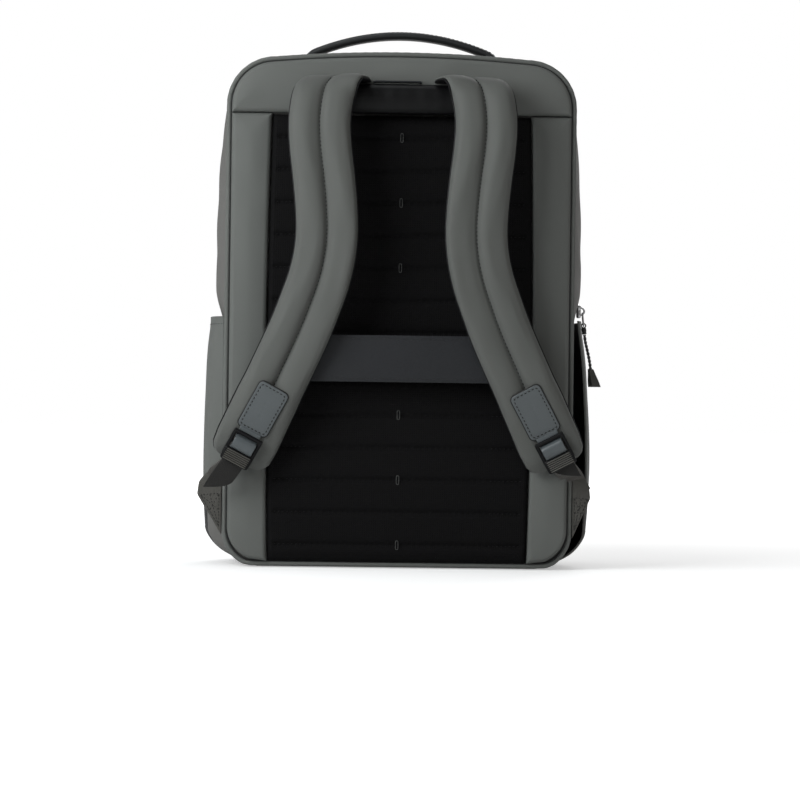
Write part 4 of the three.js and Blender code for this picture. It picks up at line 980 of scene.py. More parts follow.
def addBackPads():
    ring, _ = outlineCurve(1200, backPads["inset"])
    low = padLow[2] - backPads["seamZ"]
    above = ring[ring[:, 1] > low + 0.5]
    roof = above[np.argsort(-np.arctan2(above[:, 1] - low, above[:, 0]), kind="stable")]
    half = padHigh[0]
    left = [(-half, low), roof[0]]
    right = [(half, low), roof[-1]]
    flat = patchBetween([(-half, low), (half, low)], roof, left, right, 36, 100)
    crowned = backPads | {"crown": backPads["topCrown"]}
    pieces = [addBackPad("topPad", flat, crowned, materials["greyCloth"], "grey_fabric", "back_top_pad")]
    top, foot = sidePadHigh[2] + backPads["seamZ"], sidePadLow[2]
    heights = np.linspace(foot, top, 60)
    inner = np.stack([meshEdge(heights) + backPads["seam"], heights], -1)
    corner = bag["baseRadius"] - backPads["inset"]
    turn = np.radians(np.linspace(20, 90, 24))
    arc = np.stack([half - corner + corner * np.sin(turn), foot + corner - corner * np.cos(turn)], -1)
    outer = np.vstack([arc, [(half, top)]])
    flat = patchBetween([inner[0], outer[0]], [inner[-1], outer[-1]], inner, outer, 110, 30)
    for side, name in ((1, "right"), (-1, "left")):
        pieces.append(addBackPad(f"sidePad{name.title()}", flat * [side, 1], backPads, materials["greyCloth"],
                                 "grey_fabric", f"back_side_pad_{name}"))
    for piece, distance in pieces:
        held = np.concatenate([(distance < 1.0).ravel(), np.ones(distance.size, bool)])
        letSwell(piece, held, backPads["pressure"], backPads["cap"], distance.shape, (12, 12))
        smoothed(piece)


addBackPads()
print("back pads made")


mesh = {"pitch": 28.0, "first": 20.5, "groove": 1.7, "grooveWidth": 2.4, "dimple": 0.9, "dimplePitch": 5.2,
        "dimpleWidth": 1.0, "foot": 5.0, "rowEnd": 34.0, "columns": 180}
meshPad = {"edge": 4.0, "thick": 10.4, "crown": 1.0, "seat": 0.5}
grooves = np.concatenate([
    np.arange(sidePadHigh[2] + 1.2 - mesh["first"], bandHigh[2], -mesh["pitch"]),
    np.arange(bandLow[2], mesh["foot"] + mesh["pitch"] / 2, -mesh["pitch"]),
])


# Quilting of the mesh: each groove a bell curve across its height, with small round dimples along it
def meshRelief(flat, distance):
    x, z = flat[..., 0], flat[..., 1]
    near = np.abs(z[..., None] - grooves).min(-1)
    away = np.clip((distance - 3) / 4, 0, 1)
    groove = mesh["groove"] * np.exp(-((near / mesh["grooveWidth"]) ** 2))
    beat = (x / mesh["dimplePitch"] + 0.5) % 1 - 0.5
    spot = np.exp(-((beat * mesh["dimplePitch"]) ** 2 + near**2) / mesh["dimpleWidth"] ** 2)
    return (groove + mesh["dimple"] * spot) * away


# Panel of black spacer mesh: rows close together at each groove
def addMeshPanel():
    low, high = mesh["foot"], sidePadHigh[2]
    steps = np.concatenate([(grooves[:, None] + np.linspace(-5, 5, 11)).ravel(), np.arange(low, high, 5)])
    z = np.unique(np.round(np.clip(np.concatenate([steps, [low, high]]), low, high), 1))
    u = np.linspace(-1, 1, mesh["columns"])
    flat = np.stack([u[None] * meshEdge(z)[:, None], z[:, None] + 0 * u[None]], -1)
    pad = meshPad | {"relief": meshRelief}
    piece, _ = addBackPad("meshPanel", flat, pad, materials["blackMesh"], "black_mesh", "back_mesh_panel")


# Stitches of the quilting that show at both ends of each groove
def addRowStitches():
    runs = []
    for side in (-1, 1):
        for z in grooves:
            x = side * np.linspace(meshEdge(z) - mesh["rowEnd"], meshEdge(z) - 5.0, 30)
            y = bag["padBackY"] - meshPad["thick"] + mesh["groove"]
            row = np.stack([x, y + 0 * x, z + 0 * x], -1)
            normals = np.tile([[0.0, -1, 0]], (30, 1))
            runs.append(addStitches("run", row, normals, "mesh"))
    dress(joined("meshStitches", runs), materials["dimThread"], "black_mesh")


# Small woven loops on the panel's middle, each a flat oblong ring
def addMeshLoops():
    rings = []
    ring = np.linspace(0, 2 * np.pi, 24, endpoint=False)
    for z in grooves[[0, 2, 4, 8, 10, 12]]:
        line = np.stack([bend(np.cos(ring), 4) * 1.1, np.full(24, bag["padBackY"] - 10.6),
                         z + bend(np.sin(ring), 4) * 3.8], -1)
        rings.append(addTube("loop", ringTubeGrid(line, 0.36, (0, 1, 0), 8), loop=True))
    dress(joined("meshLoops", rings), materials["greyThread"], "grey_fabric")


addMeshPanel()
addRowStitches()
addMeshLoops()
print("mesh panel made")


piping = {"round": 520, "sides": 14, "lump": 0.04, "seamIn": 0.4, "seamOut": 1.9, "seamShadeRadius": 0.65}


# Larger of a value and a bound, its corner rounded: half of their sum and the root of their squared gap
def atLeast(value, bound, rounding=2.0):
    return (value + bound + np.sqrt((value - bound) ** 2 + rounding**2)) / 2


# Piping: a tube round the back panel's outline that swells a little between its stitches
def addPiping():
    xz, _ = outlineCurve(piping["round"])
    y = bag["backY"] - bag["clear"] - bag["piping"]
    z = atLeast(xz[:, 1], bag["piping"] + bag["clear"])
    line = np.stack([xz[:, 0], np.full(len(xz), y), z], -1)
    radius = bag["piping"] * (0.97 + piping["lump"] * np.sin(np.arange(len(xz)) * 1.9))
    piece = addTube("backPiping", ringTubeGrid(line, radius, (0, 1, 0), piping["sides"]), loop=True)
    dress(piece, materials["greyCloth"], "grey_fabric", "back_piping")
    # Dark cord along the groove between piping and pads: a seam line and painted shade in that groove
    inner, _ = outlineCurve(piping["round"], bag["piping"] + piping["seamIn"])
    z = atLeast(inner[:, 1], 2 * bag["piping"] + piping["seamIn"])
    seam = np.stack([inner[:, 0], np.full(len(inner), y - piping["seamOut"]), z], -1)
    cord = addTube("pipingSeamShade", ringTubeGrid(seam, piping["seamShadeRadius"], (0, 1, 0), 8), loop=True)
    dress(cord, materials["darkThreadAndShade"], "black_mesh")


addPiping()
print("piping made")


# Yoke: a section carried along x, rounded off at both ends
yoke = {"half": 56.0}
yokeLow, yokeHigh = boxOf("yoke_pad")
yokeSection = table(
    "out up", (0, -0.22), (0.22, -0.25), (0.45, -0.25), (0.64, -0.2), (0.8, -0.06), (0.93, 0.16),
    (1, 0.42), (0.99, 0.62), (0.92, 0.8), (0.78, 0.93), (0.6, 0.99), (0.3, 1), (0, 1))


def addYoke():
    share = np.sin(np.linspace(-np.pi / 2, np.pi / 2, 60))
    size = 0.62 + 0.38 * (1 - np.abs(share) ** 12) ** 0.5
    section = even(np.stack([yokeSection["out"], yokeSection["up"]], -1), 40)
    depth = yokeHigh[1] - yokeLow[1]
    height = yokeHigh[2] - yokeLow[2]
    wrinkle = 0.25 * np.sin(share * 19 + 1) * np.sin(share * 7)
    y = yokeHigh[1] - section[None, :, 0] * (depth + wrinkle[:, None]) * size[:, None]
    z = yokeHigh[2] + (section[None, :, 1] - 1) * height * size[:, None]
    x = np.broadcast_to(share[:, None] * yoke["half"], y.shape)
    piece = addTube("yokePad", np.stack([x, y, z], -1))
    dress(piece, materials["yokeCloth"], "black_mesh", "yoke_pad")
    smoothed(piece)
    low, high = boxOf("hang_loop")
    xs = np.linspace(low[0] - 4.4, high[0] - 4.4, 40)
    lift = 0.7 * smoothStep((1 - np.abs(np.linspace(-1, 1, 40))) * 8)
    place = np.stack([xs, np.full(40, (low[1] + high[1]) / 2), low[2] + 1.0 + lift], -1)
    across = alike((0, 1, 0), place)
    loop = addTube("hangLoop", bandGrid(place, across, high[1] - low[1] - 0.4, 1.5))
    dress(loop, materials["bandLeather"], "band_leather", "hang_loop")


addYoke()
print("yoke made")


# Trolley band
bandPath = table(
    "out off", (0, 1), (0.2, 1), (0.4, 0.99), (0.6, 0.975), (0.72, 0.95), (0.82, 0.8), (0.93, 0.32),
    (0.985, 0.12))
band = {"thick": 1.6, "edgeStitch": 3.0}


def bandLine():
    seamX = meshEdge((bandLow[2] + bandHigh[2]) / 2) + backPads["seam"] / 2
    off = bag["padFaceY"] - bandPath["off"] * (bag["padFaceY"] - bandLow[1] - band["thick"] / 2)
    half = np.stack([bandPath["out"] * seamX, off], -1)
    half = np.vstack([half, [(seamX - 0.2, bag["padFaceY"] + 1.6), (seamX, bag["padFaceY"] + 6.5)]])
    return curveThrough(np.vstack([(half * [-1, 1])[:0:-1], half]))


def addBand():
    line = even(bandLine(), 160)
    z = (bandLow[2] + bandHigh[2]) / 2
    height = bandHigh[2] - bandLow[2]
    place = np.stack([line[:, 0], line[:, 1], np.full(160, z)], -1)
    across = alike((0, 0, 1), place)
    piece = addTube("trolleyBand", bandGrid(place, across, height - 0.2, band["thick"], 48, 9.0))
    dress(piece, materials["bandLeather"], "band_leather", "trolley_band")
    threads = []
    out = unit(np.cross(tangents(place), across))
    out = out * np.sign(out[80, 1]) * -1
    for side in (-1, 1):
        row = place + across * side * (height / 2 - band["edgeStitch"]) + out * (band["thick"] / 2)
        threads.append(addStitches("row", row, out, "band"))
    dress(joined("bandStitches", threads), materials["darkThreadAndShade"], "band_leather")


addBand()
print("band made")


# Shoulder straps
strap = {"width": 52.0, "height": 10.0, "back": 1.6, "overhang": 0.8, "standOff": 39.0, "rootHeight": 416.0,
         "rows": 120, "columns": 49, "underColumns": 13, "cap": 1.1, "pressure": 4.0, "foldDip": -0.06,
         "foldRun": 72.0, "foldRound": 0.5}
strapPath = table(
    "out up off",
    (0.358, 1.0, 0.012), (0.358, 1.0, 0.26), (0.395, 0.998, 0.58), (0.44, 0.98, 0.78), (0.463, 0.953, 0.89),
    (0.474, 0.91, 0.95), (0.466, 0.86, 0.98), (0.446, 0.8, 1.0), (0.43, 0.74, 1.01), (0.425, 0.69, 1.0),
    (0.436, 0.643, 0.98), (0.466, 0.594, 0.94), (0.512, 0.546, 0.88), (0.566, 0.495, 0.82),
    (0.634, 0.44, 0.75), (0.702, 0.388, 0.68), (0.785, 0.326, 0.53), (0.855, 0.272, 0.36),
    (0.926, 0.218, 0.21))
strapLine = curveThrough(np.stack([
    strapPath["out"] * bag["halfWidth"],
    bag["padFaceY"] - strapPath["off"] * strap["standOff"],
    strapPath["up"] * strap["rootHeight"]], -1))
strapLength = distances(strapLine)[-1]
strapTaper = table(
    "at width height groove",
    (0, 0.96, 0.28, 0.3), (0.04, 0.98, 0.34, 0.6), (0.08, 1, 0.62, 1), (0.12, 1, 0.95, 1), (0.16, 1, 1, 1),
    (0.5, 1, 1, 1), (0.8, 1, 1, 1), (0.83, 1.02, 0.96, 0.35), (0.94, 1.04, 0.75, 0.2), (0.975, 1, 0.62, 0.2),
    (0.993, 0.86, 0.5, 0.1), (1, 0.62, 0.35, 0))


# Frame of the right strap at distances from its root: place, ahead, across and out
def strapFrame(at):
    at = np.atleast_1d(np.asarray(at, float))
    place = pointsAt(strapLine, at)
    ahead = unit(pointsAt(strapLine, at + 1.5) - pointsAt(strapLine, at - 1.5))
    across = unit(np.array([[1.0, 0, 0]]) - ahead * ahead[:, :1])
    level = unit(across * [1, 1, 0] + [0, 0, strap["foldDip"]])         # the fold dips a little outwards
    over = smoothStep(at / strap["foldRun"])[:, None]
    across = unit(level + (across - level) * over)
    return place, ahead, across, unit(np.cross(ahead, across))


def taperAt(share, column):
    return np.interp(share, strapTaper["at"], strapTaper[column])


# Height of the strap's face at a share of its half width: two humps that meet in the stitched valley, each
# flat on top, and a rounded outer edge
def strapHump(side, groove):
    spot = 2 * np.abs(side) - 1
    hump = (1 - np.abs(spot) ** 2.8) ** 0.7
    valley = np.where(spot < 0, 1 - 0.62 * groove * (1 - hump), 1 - 0.4 * (1 - hump))
    edge = (1 - np.clip((np.abs(side) - 0.9) / 0.1, 0, 1) ** 2) ** 0.5
    return valley * (0.42 + 0.58 * edge)


def addStrap(side):
    name = "Right" if side > 0 else "Left"
    rows = strap["rows"]
    share = np.unique(np.concatenate([np.linspace(0, 1, rows), 1 - np.linspace(0, 0.06, 26)]))
    place, _, across, out = strapFrame(share * strapLength)
    half = taperAt(share, "width") * strap["width"] / 2
    roundEnd = (1 - np.clip((share * strapLength - strapLength + 15) / 15, 0, 1) ** 2.6) ** 0.5
    half = np.minimum(half, strap["width"] / 2 * 1.04 * (0.42 + 0.58 * roundEnd))
    height = taperAt(share, "height") * strap["height"] * (0.35 + 0.65 * roundEnd)
    columns, under = strap["columns"], strap["underColumns"]
    top = np.sin(np.linspace(-np.pi / 2, np.pi / 2, columns))
    top = 0.5 * top + 0.5 * np.linspace(-1, 1, columns)
    groove = taperAt(share, "groove")[:, None]
    face = strapHump(top[None], groove) * height[:, None]
    fold = 1 - smoothStep((share * strapLength - 40) / 45)[:, None]
    outer = np.clip((top - 0.62) / 0.38, 0, 1)[None] ** 2
    inner = np.clip((-top - 0.6) / 0.4, 0, 1)[None] ** 2
    face = face * (1 - strap["foldRound"] * fold * (outer + 0.5 * inner))
    low = strap["back"] + bag["clear"]
    sideways = np.concatenate([top, np.linspace(1, -1, under)])
    heights = np.hstack([low + face, np.full((len(share), under), low)])
    grid = swept(place, across, out, half[:, None] * sideways[None], heights)
    if side < 0:
        grid = grid * [-1, 1, 1]
    pad = addTube(f"strapPad{name}", grid)
    # The strap's pad wears the darker copy of the grey fabric: painted shade
    dress(pad, materials["shadedStrapCloth"], "grey_fabric", f"strap_pad_{name.lower()}")
    column = np.tile(np.arange(len(sideways)), len(share))
    held = (column >= columns - 1) | (column == 0) | (np.abs(column - columns // 2) < 2)
    held = np.concatenate([held, np.ones(2, bool)])
    letSwell(pad, held, strap["pressure"], strap["cap"], grid.shape[:2], (40, 1))
    smoothed(pad)
    turn = fullTurn(36)
    edge = half + strap["overhang"]
    thick = strap["back"] / 2 * (1 + 0.35 * np.exp(-((np.abs(np.cos(turn)) - 1) / 0.02) ** 2))
    grid = swept(place, across, out, bend(np.cos(turn), 12)[None] * edge[:, None],
                 strap["back"] / 2 + bend(np.sin(turn), 4)[None] * thick[None] + 0 * edge[:, None])
    if side < 0:
        grid = grid * [-1, 1, 1]
    lining = addTube(f"strapLining{name}", grid)
    dress(lining, materials["blackCloth"], "black_mesh", f"strap_backing_{name.lower()}")
    at = np.linspace(0.07, 0.86, 400) * strapLength
    place, _, across, out = strapFrame(at)
    share = at / strapLength
    depth = strapHump(np.zeros(400), taperAt(share, "groove")) * taperAt(share, "height")
    row = (place + out * (low + depth * strap["height"] + 0.95)[:, None]) * [side, 1, 1]
    thread = addStitches(f"strapStitches{name}", row, out * [side, 1, 1], "strap")
    dress(thread, materials["darkThreadAndShade"], "black_mesh")


for side in (1, -1):
    addStrap(side)
print("straps made")


# Patches, ladder buckles, keepers and webbing
patch = {"length": 43.0, "width": 27.6, "corner": 4.0, "fromEnd": 51.0, "turn": 4.0, "stitch": 2.4,
         "up": 3.4, "edge": 0.75, "over": 0.9}
patchMiddle = strapLength - patch["fromEnd"]


# Rounded oblong as a closed ring of along and side, its corners arcs
def roundedRing(length, width, corner, count=120):
    turn = np.linspace(0, np.pi / 2, 12)
    arc = np.stack([np.cos(turn), np.sin(turn)], -1) * corner + [length / 2 - corner, width / 2 - corner]
    quarter = [arc, (arc * [-1, 1])[::-1], arc * [-1, -1], (arc * [1, -1])[::-1]]
    ring = np.vstack(quarter + [arc[:1]])
    return even(ring, count + 1)[:-1]


# Points and ways out of the patch at spots along and across it, at heights over a smooth slope of the strap
def onPatch(spots, height, side):
    turn = math.radians(patch["turn"])
    along = patchMiddle - patch["up"] + spots[:, 0] * math.cos(turn) - spots[:, 1] * math.sin(turn)
    sideways = spots[:, 0] * math.sin(turn) + spots[:, 1] * math.cos(turn)
    place, _, across, out = strapFrame(along)
    slope = strap["height"] * taperAt(along / strapLength, "height")
    rest = strap["back"] + bag["clear"] + slope + patch["over"]
    points = place + across * sideways[:, None] + out * (rest + height)[:, None]
    return points * [side, 1, 1], out * [side, 1, 1]


def addPatch(side):
    name = "Right" if side > 0 else "Left"
    ring = roundedRing(patch["length"], patch["width"], patch["corner"])
    rows = table(
        "share height", (0.35, -0.6), (0.9, -0.6), (0.985, -0.5), (1, 0.3), (0.995, 1.0), (0.975, 1.35),
        (0.93, 1.5), (0.88, 1.35), (0.82, 1.45), (0.7, 1.6), (0.4, 1.75), (0.1, 1.8))
    grid = []
    for share, height in zip(rows["share"], rows["height"]):
        inset = (1 - share) * patch["width"] / 2
        spots = ring * [1 - 2 * inset / patch["length"], 1 - 2 * inset / patch["width"]]
        grid.append(onPatch(spots, np.full(len(ring), height), side)[0])
    piece = addTube(f"strapPatch{name}", np.array(grid))
    dress(smoothed(piece), materials["patchLeather"], "patch_leather", f"strap_patch_{name.lower()}")
    # Dark tube round the patch's foot: its edge paint and a painted shadow round its rim
    line, out = onPatch(ring, np.full(len(ring), 0.4), side)
    edge = addTube(f"patchEdgePaintAndShadow{name}", ringTubeGrid(line, patch["edge"], out.mean(0), 8), loop=True)
    dress(edge, materials["darkThreadAndShade"], "patch_leather")
    run = roundedRing(patch["length"] - 2 * patch["stitch"], patch["width"] - 2 * patch["stitch"],
                      patch["corner"] - 1.6, 200)
    line, out = onPatch(np.vstack([run, run[:1]]), np.full(201, 1.45), side)
    thread = addStitches(f"patchStitches{name}", line, out, "patch")
    dress(thread, materials["darkThreadAndShade"], "patch_leather")


for side in (1, -1):
    addPatch(side)
print("patches made")


buckle = {"thick": 3.5, "rail": 3.2, "lift": 2.9, "below": -0.6, "topBar": 3.2, "upperSlot": 6.4,
          "centreBar": 3.0, "lowerSlot": 4.0, "gripBar": 12.4, "gripRise": 1.6, "gripHollow": 1.0,
          "ribs": 6, "rib": 0.6}
webbing = {"width": 19.5, "thick": 1.4, "play": 0.55, "leftTail": 31.0, "rightTail": 14.0, "tailFrom": 11,
           "drift": 0.12, "cut": 16.0}
buckleLength = sum(buckle[key] for key in ("topBar", "upperSlot", "centreBar", "lowerSlot", "gripBar"))
buckleWidth = webbing["width"] + 2 * (buckle["rail"] + webbing["play"])
buckleTop = -buckleLength / 2
centreStart = buckleTop + buckle["topBar"] + buckle["upperSlot"]
centreEnd = centreStart + buckle["centreBar"]
gripEnd = buckleLength / 2
gripStart = gripEnd - buckle["gripBar"]
halfThick = buckle["thick"] / 2


# Frame of the right buckle: middle, down along the webbing, wide across it and out from the bag
def buckleFrame():
    place, ahead, across, out = (v[0] for v in strapFrame(patchMiddle))
    turn = math.radians(patch["turn"])
    down = ahead * math.cos(turn) + across * math.sin(turn)
    wide = -np.cross(down, out)
    lift = strap["back"] + strap["height"] + 2 * bag["clear"] + buckle["lift"]
    away = (patch["length"] + buckleLength) / 2 + buckle["below"]
    return place + down * away + out * lift, down, wide, out


buckleMiddle, buckleDown, buckleWide, buckleOut = buckleFrame()


def onBuckle(down, wide, out):
    down, wide, out = (np.asarray(v, float)[..., None] for v in (down, wide, out))
    return buckleMiddle + down * buckleDown + wide * buckleWide + out * buckleOut


# Rounded bar of the buckle between two ends: a superellipse section along a line, closed by round ends
def barGrid(start, end, first, second, side, height, power=4.0, rows=24):
    t = np.sin(np.linspace(-np.pi / 2, np.pi / 2, rows)) * 0.5 + 0.5
    size = (1 - np.abs(2 * t - 1) ** 14) ** 0.5 * 0.35 + 0.65
    turn = fullTurn(24)
    place = start[None] + t[:, None] * (end - start)[None]
    width = bend(np.cos(turn), power)[None] * side * size[:, None]
    rise = bend(np.sin(turn), power)[None] * height * size[:, None]
    return swept(place, alike(first, place), alike(second, place), width, rise)


def addBuckle(side):
    name = "Right" if side > 0 else "Left"
    half = buckleWidth / 2
    parts = []
    bars = [
        (buckleTop, buckle["topBar"], -halfThick, halfThick, half - 0.3),
        (centreStart, buckle["centreBar"], -halfThick, halfThick, half - 1),
        (gripStart, buckle["gripBar"], buckle["gripHollow"] - halfThick, halfThick + buckle["gripRise"],
         half - 0.4),
    ]
    for start, width, low, high, reach in bars:
        a, b = (onBuckle(start + width / 2, s * reach, (low + high) / 2) for s in (-1, 1))
        parts.append(addTube("bar", barGrid(a, b, buckleDown, buckleOut, width / 2, (high - low) / 2)))
    railEnd = buckleLength / 2 - buckle["gripBar"] / 3
    for edge in (-1, 1):
        middle = edge * (half - buckle["rail"] / 2)
        a, b = onBuckle(buckleTop, middle, 0), onBuckle(railEnd, middle, 0)
        parts.append(addTube("rail", barGrid(a, b, buckleWide, buckleOut, buckle["rail"] / 2, halfThick)))
    for i in range(buckle["ribs"]):
        at = gripStart + (i + 1) * buckle["gripBar"] / (buckle["ribs"] + 1)
        high = halfThick + buckle["gripRise"] - 0.1
        a, b = (onBuckle(at, s * (half - 2.6), high) for s in (-1, 1))
        rib = barGrid(a, b, buckleDown, buckleOut, buckle["rib"], buckle["rib"], 2.0, 10)
        parts.append(addTube("rib", rib))
    ribs = joined(f"buckleRibs{name}", parts[5:])
    piece = joined(f"ladderBuckle{name}", parts[:5])
    for one in (piece, ribs):
        if side < 0:
            setCoordinates(one, coordinates(one) * [-1, 1, 1])
            one.data.flip_normals()
    dress(piece, materials["blackPlastic"], "black_plastic", f"ladder_buckle_{name.lower()}")
    dress(ribs, materials["gripPlastic"], "black_plastic")


# Keeper: leather from the patch's lower edge under the top bar, up through the upper slot, over the webbing
# on the centre bar and down into the lower slot
def addKeeper(side):
    name = "Right" if side > 0 else "Left"
    away = webbing["thick"] / 2 + bag["clear"]
    slotTop = buckleTop + buckle["topBar"]
    high = halfThick + 2 * webbing["thick"] + bag["clear"]
    low = -halfThick - away
    route = np.array([
        (buckleTop - 3.0, low - 0.6), (buckleTop, low), (slotTop, low), (slotTop + 1.2, -0.2),
        (slotTop + 2.4, high * 0.72), (slotTop + 4.4, high * 0.97), (centreStart, high),
        (centreEnd, high * 0.98), (gripStart - 2.6, high * 0.84), (gripStart - 1.0, high * 0.5),
        (gripStart - 0.8, 0.0), (gripStart - 1.2, -halfThick)])
    line = even(curveThrough(route), 90)
    place = onBuckle(line[:, 0], 0 * line[:, 0], line[:, 1]) * [side, 1, 1]
    across = alike(buckleWide * [side, 1, 1], place)
    piece = addTube(f"buckleKeeper{name}", bandGrid(place, across, webbing["width"], webbing["thick"]))
    dress(piece, materials["keeperLeather"], "band_leather", f"buckle_keeper_{name.lower()}")


tab = {"leftReach": 21.0, "rightReach": 15.5, "foot": 27.0, "height": 52.0, "thick": 3.0}
tabFaceY = bag["backY"] - bag["clear"] - 2 * bag["piping"]
tabInnerX = bag["halfWidth"] + bag["piping"] + bag["clear"]


# Webbing: sewn into the tab, up behind the buckle, over its centre bar and out under the grip bar as the tail
def webbingLine(name):
    reach, tail = tab[f"{name}Reach"], webbing[f"{name}Tail"]
    half = webbing["thick"] / 2
    thick = webbing["thick"]
    tabMiddleY = tabFaceY + tab["thick"] / 2
    top = tab["foot"] + tab["height"]
    lean = buckleDown * [1, 0, 1]
    root = np.array([tabInnerX + reach * 0.42, tabMiddleY, top - 12])
    places = [root, root - lean * 11, root - lean * 16 - [0, 3 * thick, 0]]
    away = half + 2 * bag["clear"]
    over = halfThick + away + half / 2
    under = buckle["gripHollow"] - halfThick - away - half / 2
    main = -halfThick - 2 * away - 2 * half
    above = centreStart - away - half
    below = centreEnd + away + half
    route = np.array([
        (gripEnd + thick, main - half), (gripStart, main), (centreEnd, main + half),
        (centreStart, main + thick), (above + half, main * 0.6), (above, -halfThick / 2),
        (above, halfThick / 2), (above + 2 * half, over * 0.86),
        ((centreStart + centreEnd) / 2, over), (below - 2 * half, over * 0.74), (below, 0.0),
        (below + 2 * half, under * 0.7), ((gripStart + gripEnd) / 2, under),
        (gripEnd + 2 * thick, under * 0.9),
        (gripEnd + tail * 0.6, under * 0.7), (gripEnd + tail, under)])
    drift = webbing["drift"] * np.clip(route[:, 0] - gripEnd, 0, None) * (route[:, 1] > main / 2)
    rest = onBuckle(route[:, 0], drift, route[:, 1])
    lower = np.array(places[-1])
    between = [lower + (rest[0] - lower) * 0.5]
    turn = np.array([0.8] * len(places) + [0.9] + [1.0] * len(rest))
    return np.vstack([places, between, rest]), turn


def addWebbing(side):
    name = "Right" if side > 0 else "Left"
    knots, turned = webbingLine(name.lower())
    line = curveThrough(knots, 16)
    run = distances(line)
    at = np.linspace(0, run[-1], 220)
    place = even(line, 220)
    turned = np.interp(at, run[::16], turned)[:, None]
    across = unit(np.array([[1.0, 0, 0]]) * (1 - turned) + buckleWide * turned)
    left = run[-1] - at
    width = webbing["width"] * np.clip(1 - (1 - np.clip(left / webbing["cut"], 0, 1)) ** 1.7, 0.04, 1)
    place = place + across * (webbing["width"] - width)[:, None] * 0.42
    grid = bandGrid(place * [side, 1, 1], across * [side, 1, 1], width, webbing["thick"], 28, 6.0)
    cut = int(np.searchsorted(at, run[16 * webbing["tailFrom"]]))
    piece = addTube(f"strapWebbing{name}", grid[:cut + 1])
    dress(piece, materials["webbingCloth"], "webbing", f"strap_webbing_{name.lower()}")
    # The tail wears the darker copy of the webbing: painted shade
    dress(addTube(f"shadedWebbingTail{name}", grid[cut:]), materials["shadedTailCloth"], "webbing")


for side in (1, -1):
    addBuckle(side)
    addKeeper(side)
    addWebbing(side)
print("buckles and webbing made")


# Anchor tab: a triangle of folded cloth, thicker towards its middle, with crossed stitching
def addTab(side):
    name = "Right" if side > 0 else "Left"
    reach = tab[f"{name.lower()}Reach"]
    shape = table("out up", (0, 0), (1, 0.67), (0.93, 0.88), (0.64, 1.03), (0, 1.08), (0, 0))
    corners = np.stack([tabInnerX + reach * shape["out"], tab["foot"] + tab["height"] * shape["up"]], -1)
    ring = even(corners, 161)[:-1]
    for _ in range(3):
        ring = (np.roll(ring, 1, 0) + 2 * ring + np.roll(ring, -1, 0)) / 4
    middle = ring.mean(0)
    rows = table(
        "share out", (0.3, 0), (0.96, 0), (1, 0.3), (1, 0.7), (0.97, 0.95), (0.92, 1.0), (0.85, 0.96),
        (0.5, 1.02), (0.1, 1.04))
    grid = []
    for share, out in zip(rows["share"], rows["out"]):
        spots = middle + (ring - middle) * share
        y = tabFaceY + tab["thick"] * (1 - out)
        grid.append(np.stack([side * spots[:, 0], np.full(len(spots), y), spots[:, 1]], -1))
    piece = addTube(f"anchorTab{name}", np.array(grid))
    dress(piece, materials["tabCloth"], "grey_fabric", f"anchor_tab_{name.lower()}")
    sewn = table("out up", (0.1, 0.68), (0.86, 0.66), (0.1, 0.14), (0.1, 0.68))
    sewn = np.stack([tabInnerX + reach * sewn["out"], tab["foot"] + tab["height"] * sewn["up"]], -1)
    halves = (sewn[:-1] + sewn[1:]) / 2
    runs = [sewn] + [np.array([sewn[i], halves[(i + 1) % 3]]) for i in range(3)]
    threads = []
    for run in runs:
        line = even(run, 60)
        row = np.stack([side * line[:, 0], np.full(60, tabFaceY - 0.15), line[:, 1]], -1)
        normals = np.tile([[0.0, -1, 0]], (60, 1))
        threads.append(addStitches("run", row, normals, "tab"))
    dress(joined(f"tabStitches{name}", threads), materials["darkThreadAndShade"], "black_mesh")


for side in (1, -1):
    addTab(side)
print("tabs made")


# Side pockets
pocket = {"deep": 15.0, "thick": 2.0, "back": 0.045, "front": 0.88, "seam": 62.0, "tuck": 2.2,
          "leftHem": 0.14, "rightHem": 0.03}
pocketCorner = table("turn out thin", (0.4, 0, 0.1), (0.55, 0.18, 0.6), (0.7, 0.44, 1), (0.85, 0.75, 1),
                     (0.95, 0.92, 1), (1, 0.96, 1))
pocketSide = table("up left right", (0, 0.96, 0.96), (0.16, 1.02, 1.05), (0.4, 1, 1.05), (0.62, 0.96, 0.92),
                   (0.82, 0.84, 0.7), (0.93, 0.66, 0.45), (1, 0.52, 0.3))
pocketRuns = table("share left right", (0, 0, 0.78), (0.05, 0.5, 0.82), (0.14, 0.82, 0.88), (0.3, 0.97, 0.96),
                   (0.5, 1, 1), (0.7, 0.93, 0.93), (0.86, 0.65, 0.65), (0.95, 0.28, 0.28), (1, 0, 0))


